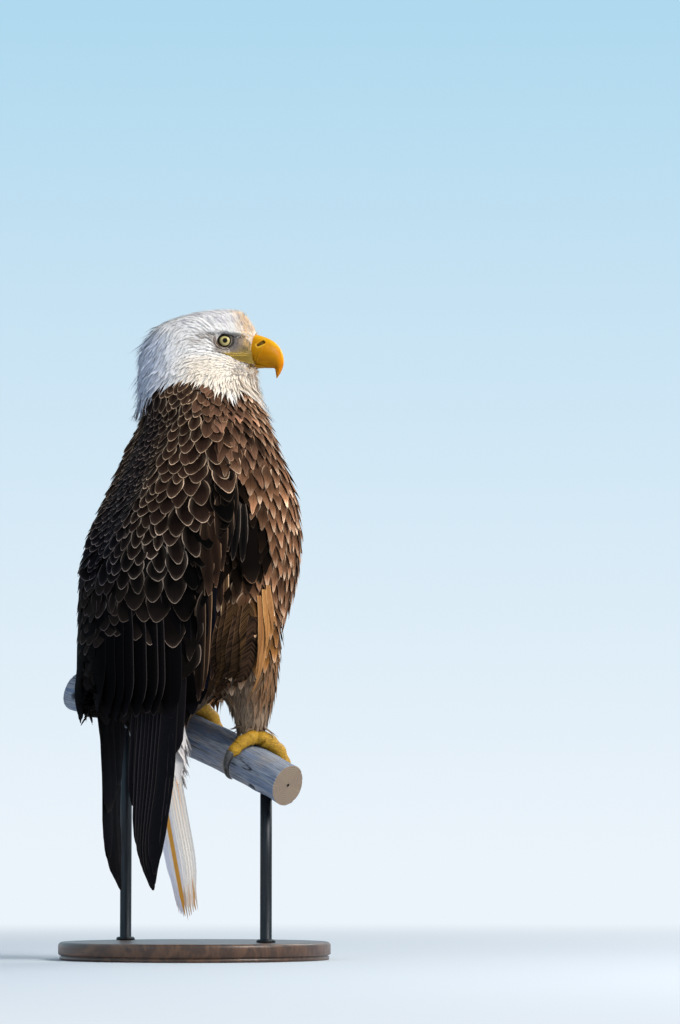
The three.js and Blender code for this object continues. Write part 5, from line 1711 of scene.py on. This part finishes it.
def hackle_tints(points, dice):
    a, r, u = on_head(points)
    count = len(points)
    beside = np.abs(r) > 8
    by_bill = ease(11, 31, a + 0.2 * (u - 10)) * ease(-9, -3, u)
    warm = np.clip(by_bill * dice.normal(1.0, 0.35, count) + 0.1 * (by_bill > 0.05), 0, 1)
    cheek = ease(-16, -30, u) * ease(-78, -62, u) * ease(-60, -30, a)
    shade = (ease(-50, -88, a) * ease(24, 4, u))[:, None]
    streak = np.exp(-((u + 1 - 0.1 * (a + 10)) / 6.5) ** 2) * ease(-6, -12, a) * ease(-50, -24, a)
    below = ease(-5, -9, u) * ease(-23, -17, u) * ease(-14, -6, a) * ease(22, 12, a)
    shaded_pouch = np.maximum(below, ease(17, 12, np.hypot(a, u)) * ease(4, -2, u)) * beside
    line = brow_relief(a, u + eye_drop(a))[1] * beside
    crest = ease(8, 20, u) * ease(-70, -40, a)
    over_mouth = u - line_at(MOUTH, a)
    under_bill = ease(-6, -2, over_mouth) * (over_mouth < 1) * ease(8, 16, a) * (np.abs(r) > 3)

    vane = dyed(dyed(tint(250, 248, 247), cheek, tint(250, 238, 222)), warm, tint(243, 210, 166))
    vane = vane * (1 - shade) + vane * np.array((0.7, 0.78, 0.94)) * shade
    vane = dyed(vane, np.clip(dice.normal(0.8, 0.35, count), 0, 1) * streak, tint(142, 128, 120))
    # Painted shade on the hackles round and below the eye.
    vane = dyed(vane, 0.9 * shaded_pouch, tint(112, 96, 82))
    # Painted shadow under the brow.
    vane = dyed(vane, np.clip(line * 1.1, 0, 0.9), tint(84, 74, 70))
    vary = np.clip(dice.normal(1.0, 0.05 + 0.13 * crest, count), 0.5, 1.0)[:, None]
    vary = vary * (1 - (1 - vary) * crest[:, None] * (0.5, 0.6, 0.1))
    # Painted shadow under the bill.
    vane = dyed(vane, 0.75 * under_bill, tint(120, 92, 88))
    flecked = dice.random(count) < 0.22 * ease(18, 26, a) * ease(30, 16, u)
    vane = dyed(vane, 0.6 * flecked, tint(206, 160, 112))
    return vane * vary, vane * 1.02, 0.0


def hackled(points):
    """Where hackles grow: over the white of the head, but not on the bare face."""
    a, r, u = on_head(points)
    u = u + eye_drop(a)
    lids, lores, gape = face_masks(a, u)
    bare_share = np.maximum(np.maximum(lids, gape), lores * (u < line_at(BROW, a) - 1)) * (np.abs(r) > 8)
    return whiteness(points, 18) * (level(points) > 300) * (np.hypot(a, u) > 10.2) * (bare_share < 0.35)


def from_bill(points):
    a, _, u = on_head(points)
    return a + u * 0.6 * ease(-20, -70, u)


HACKLE_VANE = dict(
    rows=6, columns=4, drop=0.4, power=1.1, cup=0.08, fray=0.1, crowd=0.9,
    profile=((0, 0.55), (0.3, 0.95), (0.55, 1.0), (0.8, 0.7), (1, 0.22)),
)
HEAD_PARTS = {
    "head_face": lambda a, r, u: (a > -28) & (u > -45),
    "head_crown": lambda a, r, u: (a <= -28) & (u > -45),
    "neck_left": lambda a, r, u: (u <= -45) & (r <= 0),
    "neck_right": lambda a, r, u: (u <= -45) & (r > 0),
}
for seed, (name, part_of) in enumerate(HEAD_PARTS.items()):
    inside = lambda points: hackled(points) * part_of(*on_head(points))
    piece = coat(
        f"{name}_hackles", inside, 40 + seed * 3, hackle_size, hackle_long, 1.12, hackle_rise, HACKLE_VANE,
        white_plumage, hackle_tints, first=from_bill, tall=1.15, trim=0.0,
    )

# ------------------------------------------------------------------ floor, light and camera
# The bird stands on a plain pale floor that runs out into pale blue haze, in soft light from large
# panels, seen from its right and a little behind, from just below the height of its breast.
AZIMUTH, ELEVATION, DISTANCE = math.radians(240), math.radians(-5), 5.0
AIM = Vector((-0.0909, -0.1571, 0.5604))  # the place in the middle of the view
back = Vector((
    math.sin(AZIMUTH) * math.cos(ELEVATION),
    -math.cos(AZIMUTH) * math.cos(ELEVATION),
    math.sin(ELEVATION),
))
camera = bpy.data.objects.new("camera", bpy.data.cameras.new("camera"))
bpy.context.scene.collection.objects.link(camera)
camera.location = AIM + back * DISTANCE
camera.rotation_mode = "QUATERNION"
camera.rotation_quaternion = (-back).to_track_quat("-Z", "Y")
camera.data.lens = 139.5
camera.data.sensor_width = 36
camera.data.clip_start, camera.data.clip_end = 0.05, 100
bpy.context.scene.camera = camera

HAZE_LOW, HAZE_HIGH = tint(236, 244, 251), tint(176, 217, 239)
HAZE_TOP = 0.21  # how high the haze has turned to the colour above
FLOOR_FADE = (0.5, 3.0)  # where the floor starts to fade, and is lost in the haze, in metres
sky = Finish("sky", {"Color": (0.76, 0.87, 1.0), "Strength": 0.44}, "worlds", "Background")
bpy.context.scene.world = sky.made
pale_floor = Finish("pale_floor", {
    "Roughness": 0.9, "Base Color": tint(212, 221, 230), "Specular IOR Level": 0.2,
})


def seen_as(finish, look, surface, share=1.0):
    """Shows another look in place of a share of a finish, to the camera but not to the light on the bird."""
    rays = [f"Is {kind} Ray" for kind in ("Camera", "Glossy", "Transmission")]
    camera, glossy, clear = (finish.node("ShaderNodeLightPath", out=ray) for ray in rays)
    shaders = {0: share * camera.most(glossy, clear), 1: Wire(finish, finish.shader.outputs[0]), 2: look}
    mixed = finish.node("ShaderNodeMixShader", {}, shaders)
    finish.tree.links.new(mixed.socket, finish.tree.nodes[surface].inputs["Surface"])


height = sky.node("ShaderNodeSeparateXYZ", {}, {0: sky.node("ShaderNodeTexCoord", out="Generated")}, "Z")
risen = sky.node("ShaderNodeMapRange", {}, {"Value": height, "From Min": 0.0, "From Max": HAZE_TOP})
haze = sky.node("ShaderNodeBackground", {}, {"Color": sky.mix(risen, HAZE_LOW, HAZE_HIGH)})
seen_as(sky, haze, "World Output")
far = pale_floor.vector("LENGTH", pale_floor.place(), out="Value")
glow = pale_floor.node("ShaderNodeEmission", {}, {"Color": HAZE_LOW, "Strength": 1.0})
seen_as(pale_floor, glow, "Material Output", far.step(*FLOOR_FADE))
points, faces = turned([(r, 0.0) for r in (0.001, 0.25, 0.5, 1, 2, 4, 8, 16, 40)], (0, 0), 64)
floor = shaped("floor", points - (0, 0, 0.0002), [faces], [pale_floor])
floor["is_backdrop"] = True

# Where each panel hangs: to the camera's right, towards the camera and up, then its size, power, colour.
PANELS = {
    "key": ((2.0, 1.3, 1.6), 1.3, 82, (1.0, 0.95, 0.88)),
    "fill": ((-1.9, 1.6, 0.7), 2.0, 6, (0.7, 0.84, 1.0)),
    "rim": ((1.6, -1.8, 1.4), 1.2, 24, (1.0, 0.95, 0.86)),
}
LIT = Vector((0, 0, 0.55))  # the place that every panel faces
camera_right = Vector((-back.y, back.x, 0)).normalized()
towards = Vector((back.x, back.y, 0)).normalized()
for name, ((aside, near, up), size, power, colour) in PANELS.items():
    lamp = bpy.data.lights.new(name, "AREA")
    lamp.size, lamp.energy, lamp.color = size, power, colour
    panel = bpy.data.objects.new(name, lamp)
    bpy.context.scene.collection.objects.link(panel)
    hung_at = camera_right * aside + towards * near + Vector((0, 0, up))
    panel.location = LIT + hung_at
    panel.rotation_mode = "QUATERNION"
    panel.rotation_quaternion = hung_at.to_track_quat("Z", "Y")

bpy.context.scene.view_settings.view_transform = "Standard"

low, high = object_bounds()
